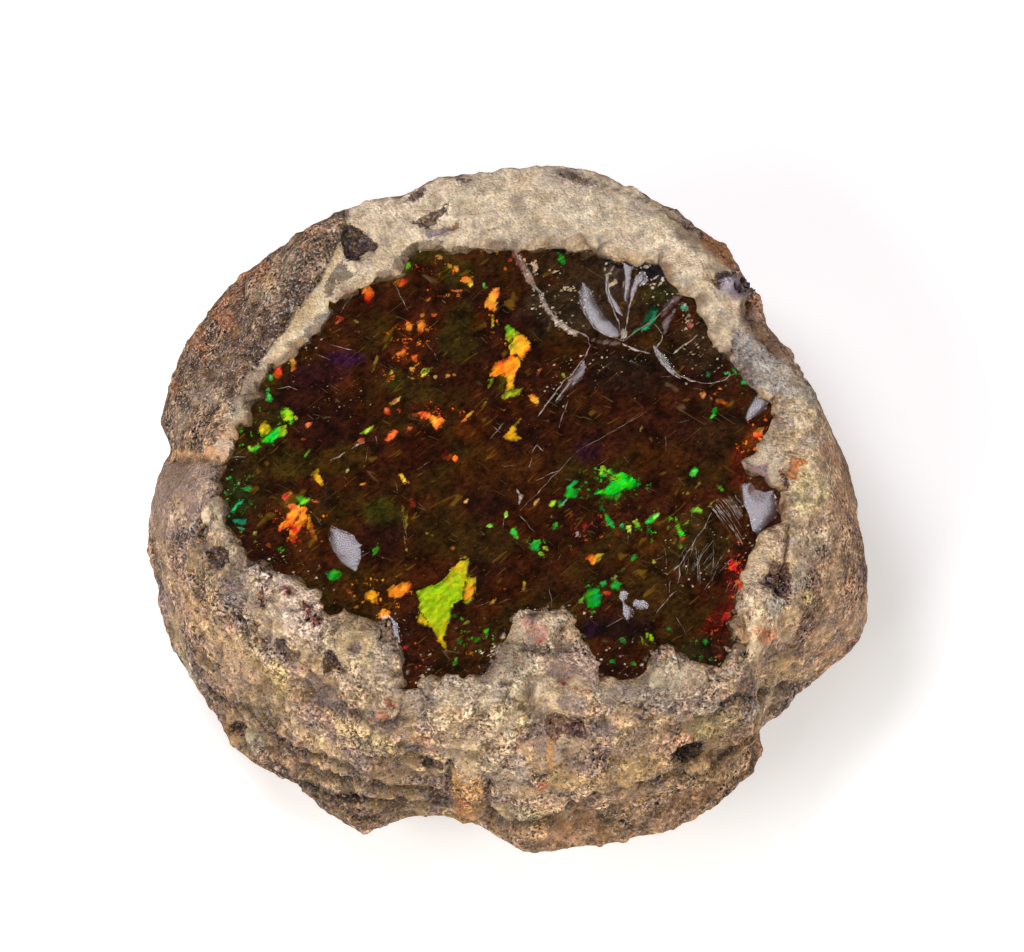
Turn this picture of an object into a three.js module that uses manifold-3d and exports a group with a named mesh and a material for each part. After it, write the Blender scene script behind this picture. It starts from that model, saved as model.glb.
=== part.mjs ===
// Split opal nodule: a rounded rhyolite nodule broken open across its opal-filled heart.
// Millimetres, +Z up. The split face looks up and the weathered back rests on the ground.
// The origin is the middle of the resting flat. +X is the right of the split face, +Y its far side.

import * as THREE from "three";
import { ImprovedNoise } from "three/addons/math/ImprovedNoise.js";
import { mergeVertices } from "three/addons/utils/BufferGeometryUtils.js";
import Module from "manifold-3d";

const wasm = await Module();
wasm.setup();

// Heights of the nodule
const SPLIT_HEIGHT = 27; // resting flat to the split face
const GIRTH_HEIGHT = 12; // resting flat to the widest girth
const KEEL_DEPTH = 13; // how far the rounded back would reach below the girth, before its flat
const BACK_FULLNESS = 2.2; // 2 is an ellipse, more is squarer

// Opal filling
const OPAL_DEPTH = 12.5; // split face to the deepest opal
const OPAL_BOWL = [28.5, 26.5]; // half widths of the bowl that holds it, along X and Y
const OPAL_DROP = 0.35; // opal surface below the mean split face
const JOINT_GAP = 0.3; // between the opal and the rock that holds it

// Fineness of the surfaces
const SKIN_DETAIL = 15; // splits of each edge of an icosahedron
const ROCK_FACE_STEP = 1.7; // spacing of the relief on the broken rock
const OPAL_FACE_STEP = 3; // spacing of the relief on the opal
const BLOCK_SIZE = 72; // wider than the nodule

const noise = new ImprovedNoise();

// Widest girth, seen from above, anticlockwise from +X
const GIRTH = new Ring([
  [30.9, -1], [29.4, 6.6], [26.4, 10.4], [23.6, 14.8], [21.8, 18.6], [20.4, 22.2],
  [15.7, 26.3], [8.4, 28.8], [2, 30.3], [-4, 29.8], [-9, 28], [-15.8, 27.2],
  [-20.6, 25.2], [-24.4, 22], [-28.3, 16.9], [-31, 9.8], [-30.9, 6.2], [-31.6, 1.6],
  [-32.1, -1.8], [-31, -6.1], [-29.6, -10.8], [-28.2, -14.5], [-25.7, -18.2], [-25, -20.2],
  [-22.6, -22.3], [-19.4, -23.8], [-15, -27.6], [-12.5, -28.9], [-9.6, -27.6], [-5.6, -27.5],
  [-1.8, -28.5], [3, -31.5], [9.4, -30.1], [14.8, -28.3], [18.4, -26], [21.9, -23.1],
  [22.6, -20.8], [22.7, -18.4], [25.3, -16.3], [27.5, -13.7], [30.5, -11.3], [31.9, -8.5],
]);

// Edge of the split face, where the skin meets it
const RIM = new Ring([
  [27.2, -1.5], [26.2, 5.6], [24, 9.8], [22, 13.2], [21, 16.4], [19.8, 20.2],
  [16.9, 22.7], [13.3, 24.7], [8.8, 26.6], [5.4, 27.7], [2.2, 27.9], [-2.6, 27.1],
  [-6.1, 26.9], [-8.7, 25.2], [-12.2, 24.3], [-15.2, 23], [-18.2, 17.2], [-21.4, 11.2],
  [-24.6, 4.6], [-26.6, -1], [-27, -5.5], [-25.4, -9.6], [-22, -13], [-18, -17.6],
  [-13.6, -20.4], [-10, -24.4], [-5, -24.4], [0, -23.8], [6, -24.2], [12.2, -24.2],
  [17.2, -22.8], [20.9, -22], [21.9, -19], [23.4, -14.4], [26.4, -9.6], [27.8, -5.6],
]);

// Edge of the opal on the split face, anticlockwise from its right side. The near side is bitten
// into by tongues of rock, with a narrow inlet of opal at the left of them.
const OPAL_EDGE = [
  [24, -2.7], [20.9, -1.4], [21.8, 0.8], [23.1, 3], [23.5, 4.9], [22.1, 6.3],
  [19.8, 9.2], [17.7, 11.6], [16.6, 14.8], [14.4, 16.8], [13.3, 18.7], [10.4, 18.9],
  [7.8, 19.9], [4, 20.2], [0.4, 19.7], [-3.5, 20], [-7.9, 19.9], [-9.8, 17.3],
  [-12.6, 16.4], [-15.3, 14.9], [-16.1, 12.6], [-17.9, 10.9], [-21.2, 7.4], [-23, 3.5],
  [-24.6, -0.3], [-25.1, -3.2], [-24.9, -6], [-23.3, -8], [-21.9, -10.1], [-19.2, -10.9],
  [-16.8, -12.8], [-16, -15.5], [-13.1, -15.6], [-10.3, -16.1], [-9.3, -19.2], [-9.1, -22.6],
  [-8.1, -22.9], [-7.3, -21.2], [-3.5, -21.3], [-1.4, -20.3], [-0.3, -17.6], [0.4, -15.2],
  [5.2, -14.9], [6.5, -17.8], [7.8, -20.9], [9.6, -21.8], [11.6, -21.5], [12.4, -18.8],
  [14.7, -18.4], [16.1, -20], [18.2, -20.4], [20.1, -18], [19.4, -16.4], [19.9, -13.6],
  [20.8, -10.9], [22.2, -7.6], [24.2, -6],
];

// Flats where pieces of the skin have broken away. Each passes over the girth's centre at
// this distance, and its outward direction is given by a bearing and a rise, in degrees.
const FLATS = [
  { bearing: 155, rise: 40, distance: 28.0 }, // long bevel at the far left
  { bearing: 34, rise: 46, distance: 28.0 }, // narrow bevel at the far right
  { bearing: 192, rise: 38, distance: 29.8 }, // left lobe
  { bearing: -128, rise: 42, distance: 28.6 }, // near left flank
  { bearing: -84, rise: 40, distance: 29.6 }, // near flank
  { bearing: -22, rise: 44, distance: 29.4 }, // right flank
  { bearing: 96, rise: -20, distance: 28.2 }, // far side of the back
  { bearing: 72, rise: 10, distance: 30.4 }, // far side, above the girth
  { bearing: -86, rise: -30, distance: 27.6 }, // under the near side
  { bearing: 12, rise: -28, distance: 26.6 }, // under the right side
  { bearing: 170, rise: -30, distance: 27.0 }, // under the left lobe
].map(({ bearing, rise, distance }) => ({
  outward: heading(bearing, rise),
  distance,
}));

// Layers of the rind that end in ledges round the near flank: between two bearings, in degrees,
// the rind is set back by a step above each one and fills out again towards the rim
const LEDGES = [
  { from: -152, to: -98, top: 12.4, tilt: 0.08, step: 1.2 },
  { from: -148, to: -108, top: 17.6, tilt: 0.05, step: 0.7 },
  { from: -92, to: -36, top: 11.8, tilt: -0.1, step: 1.7 },
  { from: -72, to: -28, top: 18.4, tilt: -0.06, step: 0.8 },
  { from: 58, to: 118, top: 9.5, tilt: 0.04, step: 0.8 },
];

// The crease that parts the long bevel from the left lobe
const CREASE = { atGirth: 167, atRim: 181, halfWidth: 4.5, depth: 1.1 };

// Round pits in the rind: a bearing and a height, in degrees and mm, then radius and depth
const PITS = [
  { bearing: 41, height: 24.2, radius: 1.7, depth: 1.5 }, // emptied bead at the far right
  { bearing: -53, height: 17.6, radius: 1.9, depth: 1.5 },
  { bearing: -141, height: 10.5, radius: 1.3, depth: 1.0 },
  { bearing: -158, height: 23.4, radius: 1.5, depth: 0.9 },
  { bearing: 84, height: 13, radius: 2.2, depth: 1.0 },
  { bearing: 130, height: 8, radius: 1.6, depth: 0.9 },
  { bearing: -4, height: 9, radius: 1.8, depth: 0.9 },
];

// A hollow in the broken rock at the far left of the opal
const HOLLOW = { at: [-13.2, 20.6], radius: 1.9, depth: 1.1 };

// Shell-shaped breaks in the opal. Each is the print of a ball pressed in at a point of the
// split face, with its radius and how deep it bites.
const SHELLS = [
  { at: [5.6, 16.2], radius: 10, bite: 1.5 },
  { at: [10.4, 15.4], radius: 7, bite: 1.5 },
  { at: [13.4, 13.2], radius: 8, bite: 1.3 },
  { at: [17.2, 8.6], radius: 9, bite: 1.3 },
  { at: [22.4, 5.2], radius: 6, bite: 1.0 },
  { at: [22.8, -4.6], radius: 8, bite: 1.4 },
  { at: [-14.3, -9.6], radius: 12, bite: 0.35 },
  { at: [-9.2, -18.6], radius: 5, bite: 1.1 },
];

// A closed outline read as a distance from the middle at any bearing
function Ring(points) {
  const spots = points
    .map(([x, y]) => ({ bearing: Math.atan2(y, x), reach: Math.hypot(x, y) }))
    .sort((a, b) => a.bearing - b.bearing);
  const last = spots.length - 1;
  const before = { ...spots[last], bearing: spots[last].bearing - 2 * Math.PI };
  const after = { ...spots[0], bearing: spots[0].bearing + 2 * Math.PI };
  const round = [before, ...spots, after];
  this.reach = (bearing) => {
    const next = Math.max(1, round.findIndex((spot) => spot.bearing > bearing));
    const [a, b] = [round[next - 1], round[next]];
    return THREE.MathUtils.lerp(a.reach, b.reach, (bearing - a.bearing) / (b.bearing - a.bearing));
  };
}

// Unit vector at a compass bearing from +X and a rise above level, both in degrees
function heading(bearing, rise) {
  const [turn, climb] = [bearing, rise].map(THREE.MathUtils.degToRad);
  return new THREE.Vector3(
    Math.cos(turn) * Math.cos(climb),
    Math.sin(turn) * Math.cos(climb),
    Math.sin(climb),
  );
}

// Sum of two sizes of smooth lumps, from about -amount to amount
function lumps(x, y, z, size, amount) {
  const coarse = noise.noise(x / size, y / size, z / size);
  const fine = noise.noise((2.3 * x) / size, (2.3 * y) / size, (2.3 * z) / size + 7);
  return amount * (coarse + 0.5 * fine);
}

// 0 before the low edge, 1 after the high one, smooth between
const ramp = THREE.MathUtils.smoothstep;

// How far the rind is set back at a point, because of its ledges and its crease
function setBack(bearing, height) {
  let depth = 0;
  for (const ledge of LEDGES) {
    const along = ramp(bearing, ledge.from, ledge.from + 8) * (1 - ramp(bearing, ledge.to - 8, ledge.to));
    const top = ledge.top + ledge.tilt * (bearing - (ledge.from + ledge.to) / 2);
    depth += ledge.step * along * ramp(height, top - 0.4, top + 0.8) * (1 - ramp(height, top + 1.5, top + 8));
  }
  const climb = (height - GIRTH_HEIGHT) / (SPLIT_HEIGHT - GIRTH_HEIGHT);
  const line = THREE.MathUtils.lerp(CREASE.atGirth, CREASE.atRim, climb);
  const aside = Math.abs(((bearing - line + 540) % 360) - 180) / CREASE.halfWidth;
  return depth + CREASE.depth * Math.max(0, 1 - aside) * ramp(height, 4, 12);
}

// Distance from the girth's centre to the skin in a direction
function skinReach(direction) {
  const bearing = Math.atan2(direction.y, direction.x);
  const girth = GIRTH.reach(bearing);
  const rimShare = Math.min(RIM.reach(bearing) / girth, 0.96);
  const crown = (SPLIT_HEIGHT - GIRTH_HEIGHT) / Math.sqrt(1 - rimShare ** 2);
  const [half, fullness] = direction.z > 0 ? [crown, 2] : [KEEL_DEPTH, BACK_FULLNESS];
  const level = Math.hypot(direction.x, direction.y) / girth;
  const steep = Math.abs(direction.z) / half;
  let reach = (level ** fullness + steep ** fullness) ** (-1 / fullness);
  for (const { outward, distance } of FLATS) {
    const facing = direction.dot(outward);
    if (facing > 0) reach = Math.min(reach, distance / facing);
  }
  const [x, y, z] = direction.toArray().map((part) => part * reach);
  reach -= setBack(THREE.MathUtils.radToDeg(bearing), z + GIRTH_HEIGHT);
  return reach + lumps(x, y, z, 8, 0.5) + lumps(x + 40, y, z, 3.6, 0.3);
}

// Height of the broken rock round the opal: a low crust near the opal's near side, rough all over
function rockFaceHeight(x, y) {
  const nearSide = ramp(-y, 10, 20);
  const roughness = lumps(x, y, 3, 6, 0.45) + lumps(x, y, 11, 2.6, 0.25 + 0.25 * nearSide);
  return SPLIT_HEIGHT + 0.7 * nearSide + roughness;
}

// Height of the opal's own surface: all but flat, and rounded over at its right side
function opalFaceHeight(x, y) {
  const rightSide = ramp(x, 17, 25);
  return SPLIT_HEIGHT - OPAL_DROP - 1.1 * rightSide ** 2 + lumps(x, y, 20, 14, 0.2);
}

// A geometry with shared corners merged and nothing but positions
function merged(geometry) {
  const bare = geometry.clone();
  bare.deleteAttribute("normal");
  bare.deleteAttribute("uv");
  return mergeVertices(bare, 1e-4);
}

function solidOf(geometry) {
  const { attributes, index } = merged(geometry);
  const mesh = new wasm.Mesh({
    numProp: 3,
    vertProperties: attributes.position.array,
    triVerts: new Uint32Array(index.array),
  });
  return new wasm.Manifold(mesh);
}

function geometryOf(solid) {
  const mesh = solid.getMesh();
  const geometry = new THREE.BufferGeometry();
  geometry.setAttribute("position", new THREE.BufferAttribute(mesh.vertProperties, 3));
  geometry.setIndex(new THREE.BufferAttribute(mesh.triVerts, 1));
  geometry.computeVertexNormals();
  return geometry;
}

// Moves each corner of a geometry to where a function sends it
function reshaped(geometry, move) {
  const shape = merged(geometry);
  const place = shape.getAttribute("position");
  const corner = new THREE.Vector3();
  for (let i = 0; i < place.count; i++) {
    corner.fromBufferAttribute(place, i);
    move(corner);
    place.setXYZ(i, corner.x, corner.y, corner.z);
  }
  return shape;
}

// The whole rounded nodule before it was split
function wholeNodule() {
  const ball = new THREE.IcosahedronGeometry(1, SKIN_DETAIL);
  return solidOf(
    reshaped(ball, (corner) => {
      corner.normalize();
      corner.multiplyScalar(skinReach(corner));
      corner.z += GIRTH_HEIGHT;
    }),
  );
}

// Everything under a broken face whose height is a function of x and y
function blockUnder(faceHeight, faceStep) {
  const steps = Math.round(BLOCK_SIZE / faceStep);
  const bottom = -BLOCK_SIZE / 2;
  const block = new THREE.BoxGeometry(BLOCK_SIZE, BLOCK_SIZE, BLOCK_SIZE, steps, steps, 1);
  return solidOf(
    reshaped(block, (corner) => {
      corner.z = corner.z > 0 ? faceHeight(corner.x, corner.y) : bottom;
    }),
  );
}

// The bowl that the opal fills, grown outwards by a gap
function bowl(gap) {
  const [halfX, halfY] = OPAL_BOWL;
  const ball = new THREE.IcosahedronGeometry(1, 8);
  ball.scale(halfX + gap, halfY + gap, OPAL_DEPTH + gap);
  ball.translate(0, -1, SPLIT_HEIGHT);
  return solidOf(ball);
}

// An anticlockwise outline moved outwards by a gap, corner by corner
function grown(points, gap) {
  return points.map(([x, y], i) => {
    const here = new THREE.Vector2(x, y);
    const [before, after] = [points.at(i - 1), points[(i + 1) % points.length]];
    const edgeIn = here.clone().sub(new THREE.Vector2(...before)).normalize();
    const edgeOut = new THREE.Vector2(...after).sub(here).normalize();
    const outward = new THREE.Vector2(edgeIn.y + edgeOut.y, -edgeIn.x - edgeOut.x).normalize();
    const miter = gap / Math.max(0.5, outward.dot(new THREE.Vector2(edgeIn.y, -edgeIn.x)));
    return here.addScaledVector(outward, miter);
  });
}

// An upright prism over the opal's edge, grown outwards by a gap
function column(gap) {
  const outline = new THREE.Shape(grown(OPAL_EDGE, gap));
  const prism = new THREE.ExtrudeGeometry(outline, { depth: SPLIT_HEIGHT, bevelEnabled: false });
  prism.translate(0, 0, SPLIT_HEIGHT / 2);
  return solidOf(prism);
}

function filling(gap) {
  return column(gap).intersect(bowl(gap));
}

// The balls whose prints are the shell-shaped breaks
function shellBall({ at: [x, y], radius, bite }) {
  const ball = new THREE.IcosahedronGeometry(radius, 9);
  ball.translate(x, y, opalFaceHeight(x, y) + radius - bite);
  return solidOf(ball);
}

function pitBall({ bearing, height, radius, depth }) {
  const turn = THREE.MathUtils.degToRad(bearing);
  const rise = height - GIRTH_HEIGHT;
  let direction = new THREE.Vector3(Math.cos(turn), Math.sin(turn), 0);
  // the direction whose skin lies at the wanted height
  for (let round = 0; round < 8; round++) {
    const reach = skinReach(direction);
    const level = Math.sqrt(Math.max(reach ** 2 - rise ** 2, 1));
    direction = new THREE.Vector3(Math.cos(turn) * level, Math.sin(turn) * level, rise).normalize();
  }
  const middle = direction.multiplyScalar(skinReach(direction) + radius - depth);
  const ball = new THREE.IcosahedronGeometry(radius, 2);
  ball.translate(middle.x, middle.y, middle.z + GIRTH_HEIGHT);
  return solidOf(ball);
}

function hollowBall({ at: [x, y], radius, depth }) {
  const ball = new THREE.IcosahedronGeometry(radius, 2);
  ball.translate(x, y, rockFaceHeight(x, y) + radius - depth);
  return solidOf(ball);
}

function ground() {
  const slab = new THREE.BoxGeometry(BLOCK_SIZE, BLOCK_SIZE, BLOCK_SIZE);
  slab.translate(0, 0, -BLOCK_SIZE / 2);
  return solidOf(slab);
}

function hostRock() {
  let rock = wholeNodule().intersect(blockUnder(rockFaceHeight, ROCK_FACE_STEP));
  rock = rock.subtract(ground()).subtract(hollowBall(HOLLOW));
  for (const pit of PITS) rock = rock.subtract(pitBall(pit));
  rock = rock.subtract(filling(JOINT_GAP));
  const stone = new THREE.MeshStandardMaterial({ color: 0xb5a58c, roughness: 0.92, metalness: 0 });
  return named("host_rock", rock, stone);
}

function opalCore() {
  let opal = filling(0).intersect(blockUnder(opalFaceHeight, OPAL_FACE_STEP));
  for (const shell of SHELLS) opal = opal.subtract(shellBall(shell));
  const glassy = new THREE.MeshStandardMaterial({ color: 0x2e1706, roughness: 0.12, metalness: 0 });
  return named("opal_core", opal, glassy);
}

function named(name, solid, material) {
  const mesh = new THREE.Mesh(geometryOf(solid), material);
  mesh.name = name;
  return mesh;
}

const nodule = new THREE.Group();
nodule.add(hostRock(), opalCore());

export default nodule;
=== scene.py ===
"""Looks of the split opal nodule: rough rhyolite round a glassy brown opal full of fire.

Lengths in the tables are millimetres. A pair such as (417, 589) is a place on the photograph in
pixels, across and down; the camera here stands where the photograph was taken from.
"""

import math
import random

import bmesh
import bpy
import numpy as np
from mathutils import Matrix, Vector, noise


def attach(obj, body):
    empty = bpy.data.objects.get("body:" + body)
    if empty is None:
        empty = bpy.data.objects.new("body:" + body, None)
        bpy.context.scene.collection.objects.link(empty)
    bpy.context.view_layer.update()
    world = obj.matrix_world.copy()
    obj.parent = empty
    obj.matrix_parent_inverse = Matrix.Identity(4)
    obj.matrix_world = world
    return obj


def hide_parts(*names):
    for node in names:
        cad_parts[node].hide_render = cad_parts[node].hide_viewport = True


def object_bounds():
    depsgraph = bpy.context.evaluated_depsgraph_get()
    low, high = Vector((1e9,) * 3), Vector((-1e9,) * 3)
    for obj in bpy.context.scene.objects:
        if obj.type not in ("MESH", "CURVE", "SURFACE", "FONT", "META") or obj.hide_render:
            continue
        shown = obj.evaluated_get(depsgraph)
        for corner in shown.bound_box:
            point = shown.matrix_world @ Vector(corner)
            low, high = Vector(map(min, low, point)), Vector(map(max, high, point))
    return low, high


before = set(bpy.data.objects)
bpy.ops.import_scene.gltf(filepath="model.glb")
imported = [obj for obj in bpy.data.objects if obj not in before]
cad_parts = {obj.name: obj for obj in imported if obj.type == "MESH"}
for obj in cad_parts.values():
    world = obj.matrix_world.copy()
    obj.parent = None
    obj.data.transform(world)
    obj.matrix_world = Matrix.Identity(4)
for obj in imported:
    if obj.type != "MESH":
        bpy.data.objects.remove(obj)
cad_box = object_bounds()

MM = 0.001
PX_PER_MM = 11.4
ORIGIN_PX = (508, 580)  # where the middle of the resting flat falls in the photograph
VIEW_RISE = math.radians(66)  # the photograph looks down this steeply
TOWARD_CAMERA = np.array([0, -math.cos(VIEW_RISE), math.sin(VIEW_RISE)])
SPLIT_HEIGHT = 27
OPAL_FACE = 26.65
OPAL_IOR = 1.45
INSIDE_SLANT = math.tan(math.asin(math.cos(VIEW_RISE) / OPAL_IOR))  # of the view under the face
BOWL_MIDDLE = (0, -1)
BOWL_HALF = (28.5, 26.5)
BOWL_DEPTH = 12.5
ROCK_VOXEL = 0.39
FACE_STEP = 0.16
DOMAIN_STEP = 0.35
DOMAIN_DEPTH = 1.4
FLAKE_THICKNESS = 0.04
DOMAIN_THICKNESS = 0.3
SCRAP_THICKNESS = 0.2

# The opal's edge on the split face, as in the part's source
OPAL_EDGE = [
    (24, -2.7), (20.9, -1.4), (21.8, 0.8), (23.1, 3), (23.5, 4.9), (22.1, 6.3),
    (19.8, 9.2), (17.7, 11.6), (16.6, 14.8), (14.4, 16.8), (13.3, 18.7), (10.4, 18.9),
    (7.8, 19.9), (4, 20.2), (0.4, 19.7), (-3.5, 20), (-7.9, 19.9), (-9.8, 17.3),
    (-12.6, 16.4), (-15.3, 14.9), (-16.1, 12.6), (-17.9, 10.9), (-21.2, 7.4), (-23, 3.5),
    (-24.6, -0.3), (-25.1, -3.2), (-24.9, -6), (-23.3, -8), (-21.9, -10.1), (-19.2, -10.9),
    (-16.8, -12.8), (-16, -15.5), (-13.1, -15.6), (-10.3, -16.1), (-9.3, -19.2), (-9.1, -22.6),
    (-8.1, -22.9), (-7.3, -21.2), (-3.5, -21.3), (-1.4, -20.3), (-0.3, -17.6), (0.4, -15.2),
    (5.2, -14.9), (6.5, -17.8), (7.8, -20.9), (9.6, -21.8), (11.6, -21.5), (12.4, -18.8),
    (14.7, -18.4), (16.1, -20), (18.2, -20.4), (20.1, -18), (19.4, -16.4), (19.9, -13.6),
    (20.8, -10.9), (22.2, -7.6), (24.2, -6),
]


def linear(code):
    """An sRGB hex colour as linear red, green and blue."""
    parts = [int(code[i:i + 2], 16) / 255 for i in (1, 3, 5)]
    return tuple(c / 12.92 if c <= 0.04045 else ((c + 0.055) / 1.055) ** 2.4 for c in parts)


def spot(place, height=OPAL_FACE):
    """The point at a height that the photograph shows at a pixel, as x and y."""
    across, down = place
    x = (across - ORIGIN_PX[0]) / PX_PER_MM
    up = (ORIGIN_PX[1] - down) / PX_PER_MM
    return x, (up - height * math.cos(VIEW_RISE)) / math.sin(VIEW_RISE)


def pixel_of(points):
    """Where the photograph shows points given as rows of x, y and z."""
    up = points[:, 1] * math.sin(VIEW_RISE) + points[:, 2] * math.cos(VIEW_RISE)
    return np.stack([ORIGIN_PX[0] + PX_PER_MM * points[:, 0], ORIGIN_PX[1] - PX_PER_MM * up], 1)


def inside(points, outline):
    """Which points, rows of two numbers, lie within an outline."""
    x, y = points[:, 0], points[:, 1]
    within = np.zeros(len(points), bool)
    for (x1, y1), (x2, y2) in zip(outline, outline[1:] + outline[:1]):
        if y1 == y2:
            continue
        crosses = (y1 > y) != (y2 > y)
        within ^= crosses & (x < x1 + (y - y1) * (x2 - x1) / (y2 - y1))
    return within


def distance_to_line(points, line):
    """Shortest distance from each point, a row of two numbers, to an open line of corners."""
    nearest = np.full(len(points), 1e9)
    for start, end in zip(line, line[1:]):
        a, along = np.array(start, float), np.array(end, float) - np.array(start, float)
        share = np.clip((points - a) @ along / (along @ along), 0, 1)
        nearest = np.minimum(nearest, np.linalg.norm(points - a - share[:, None] * along, axis=1))
    return nearest


def smooth(value, low, high):
    """0 below low, 1 above high, smooth between; low may be the larger."""
    share = np.clip((value - low) / (high - low), 0, 1)
    return share * share * (3 - 2 * share)


def noise_field(points, size, seed=0.0):
    """Smooth noise from about -1 to 1 at each point, with lumps about as wide as size."""
    shifted = points / size + seed
    return np.array([noise.noise(p) for p in shifted.tolist()])


def flat_noise(x, y, size, seed=0.0):
    return noise.noise((x / size + seed, y / size, seed))


def new_object(name, mesh):
    made = bpy.data.objects.new(name, mesh)
    bpy.context.scene.collection.objects.link(made)
    return made


def mesh_from(bm, name):
    mesh = bpy.data.meshes.new(name)
    bm.to_mesh(mesh)
    bm.free()
    return mesh


def settle(made, slot, *nodes):
    """The piece rides on the only body and may stand for CAD nodes. The slot is not used."""
    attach(made, "root")
    if nodes:
        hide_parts(*nodes)


def thicken(bm, thickness):
    bmesh.ops.solidify(bm, geom=bm.faces[:] + bm.edges[:] + bm.verts[:], thickness=thickness)


def piece_from(bm, name, material):
    """The object made of a mesh worked in millimetres."""
    bmesh.ops.recalc_face_normals(bm, faces=bm.faces)
    bmesh.ops.scale(bm, verts=bm.verts, vec=(MM, MM, MM))
    mesh = mesh_from(bm, name)
    mesh.materials.append(material)
    return new_object(name, mesh)


def paint(mesh, name, colours):
    """Writes one linear colour per corner point into an attribute of the mesh."""
    layer = mesh.color_attributes.new(name, "FLOAT_COLOR", "POINT")
    rgba = np.ones((len(mesh.vertices), 4), np.float32)
    rgba[:, :colours.shape[1]] = colours
    layer.data.foreach_set("color", rgba.ravel())


# Materials


def add(tree, kind, inputs=(), **settings):
    """Adds a shader node.

    Its inputs come by name or in order: each is a number, a colour, another node's output, or a
    node, which then gives its first output in use.
    """
    made = tree.nodes.new("ShaderNode" + kind)
    for name, value in settings.items():
        setattr(made, name, value)
    for name, value in inputs.items() if isinstance(inputs, dict) else enumerate(inputs):
        if isinstance(value, bpy.types.Node):
            value = next(output for output in value.outputs if output.enabled)
        if isinstance(value, bpy.types.NodeSocket):
            tree.links.new(value, made.inputs[name])
        else:
            made.inputs[name].default_value = value
    return made


def new_material(name):
    made = bpy.data.materials.new(name)
    made.use_nodes = True
    made.node_tree.nodes.clear()
    return made, made.node_tree


def finish_material(tree, surface, volume=None):
    inputs = {"Surface": surface.outputs[0]}
    if volume:
        inputs["Volume"] = volume.outputs[0]
    add(tree, "OutputMaterial", inputs)


def per_metre(size_mm):
    """Texture scale for a pattern whose features are this many millimetres wide."""
    return 1000 / size_mm


def rgba(code):
    return (*linear(code), 1)


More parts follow.
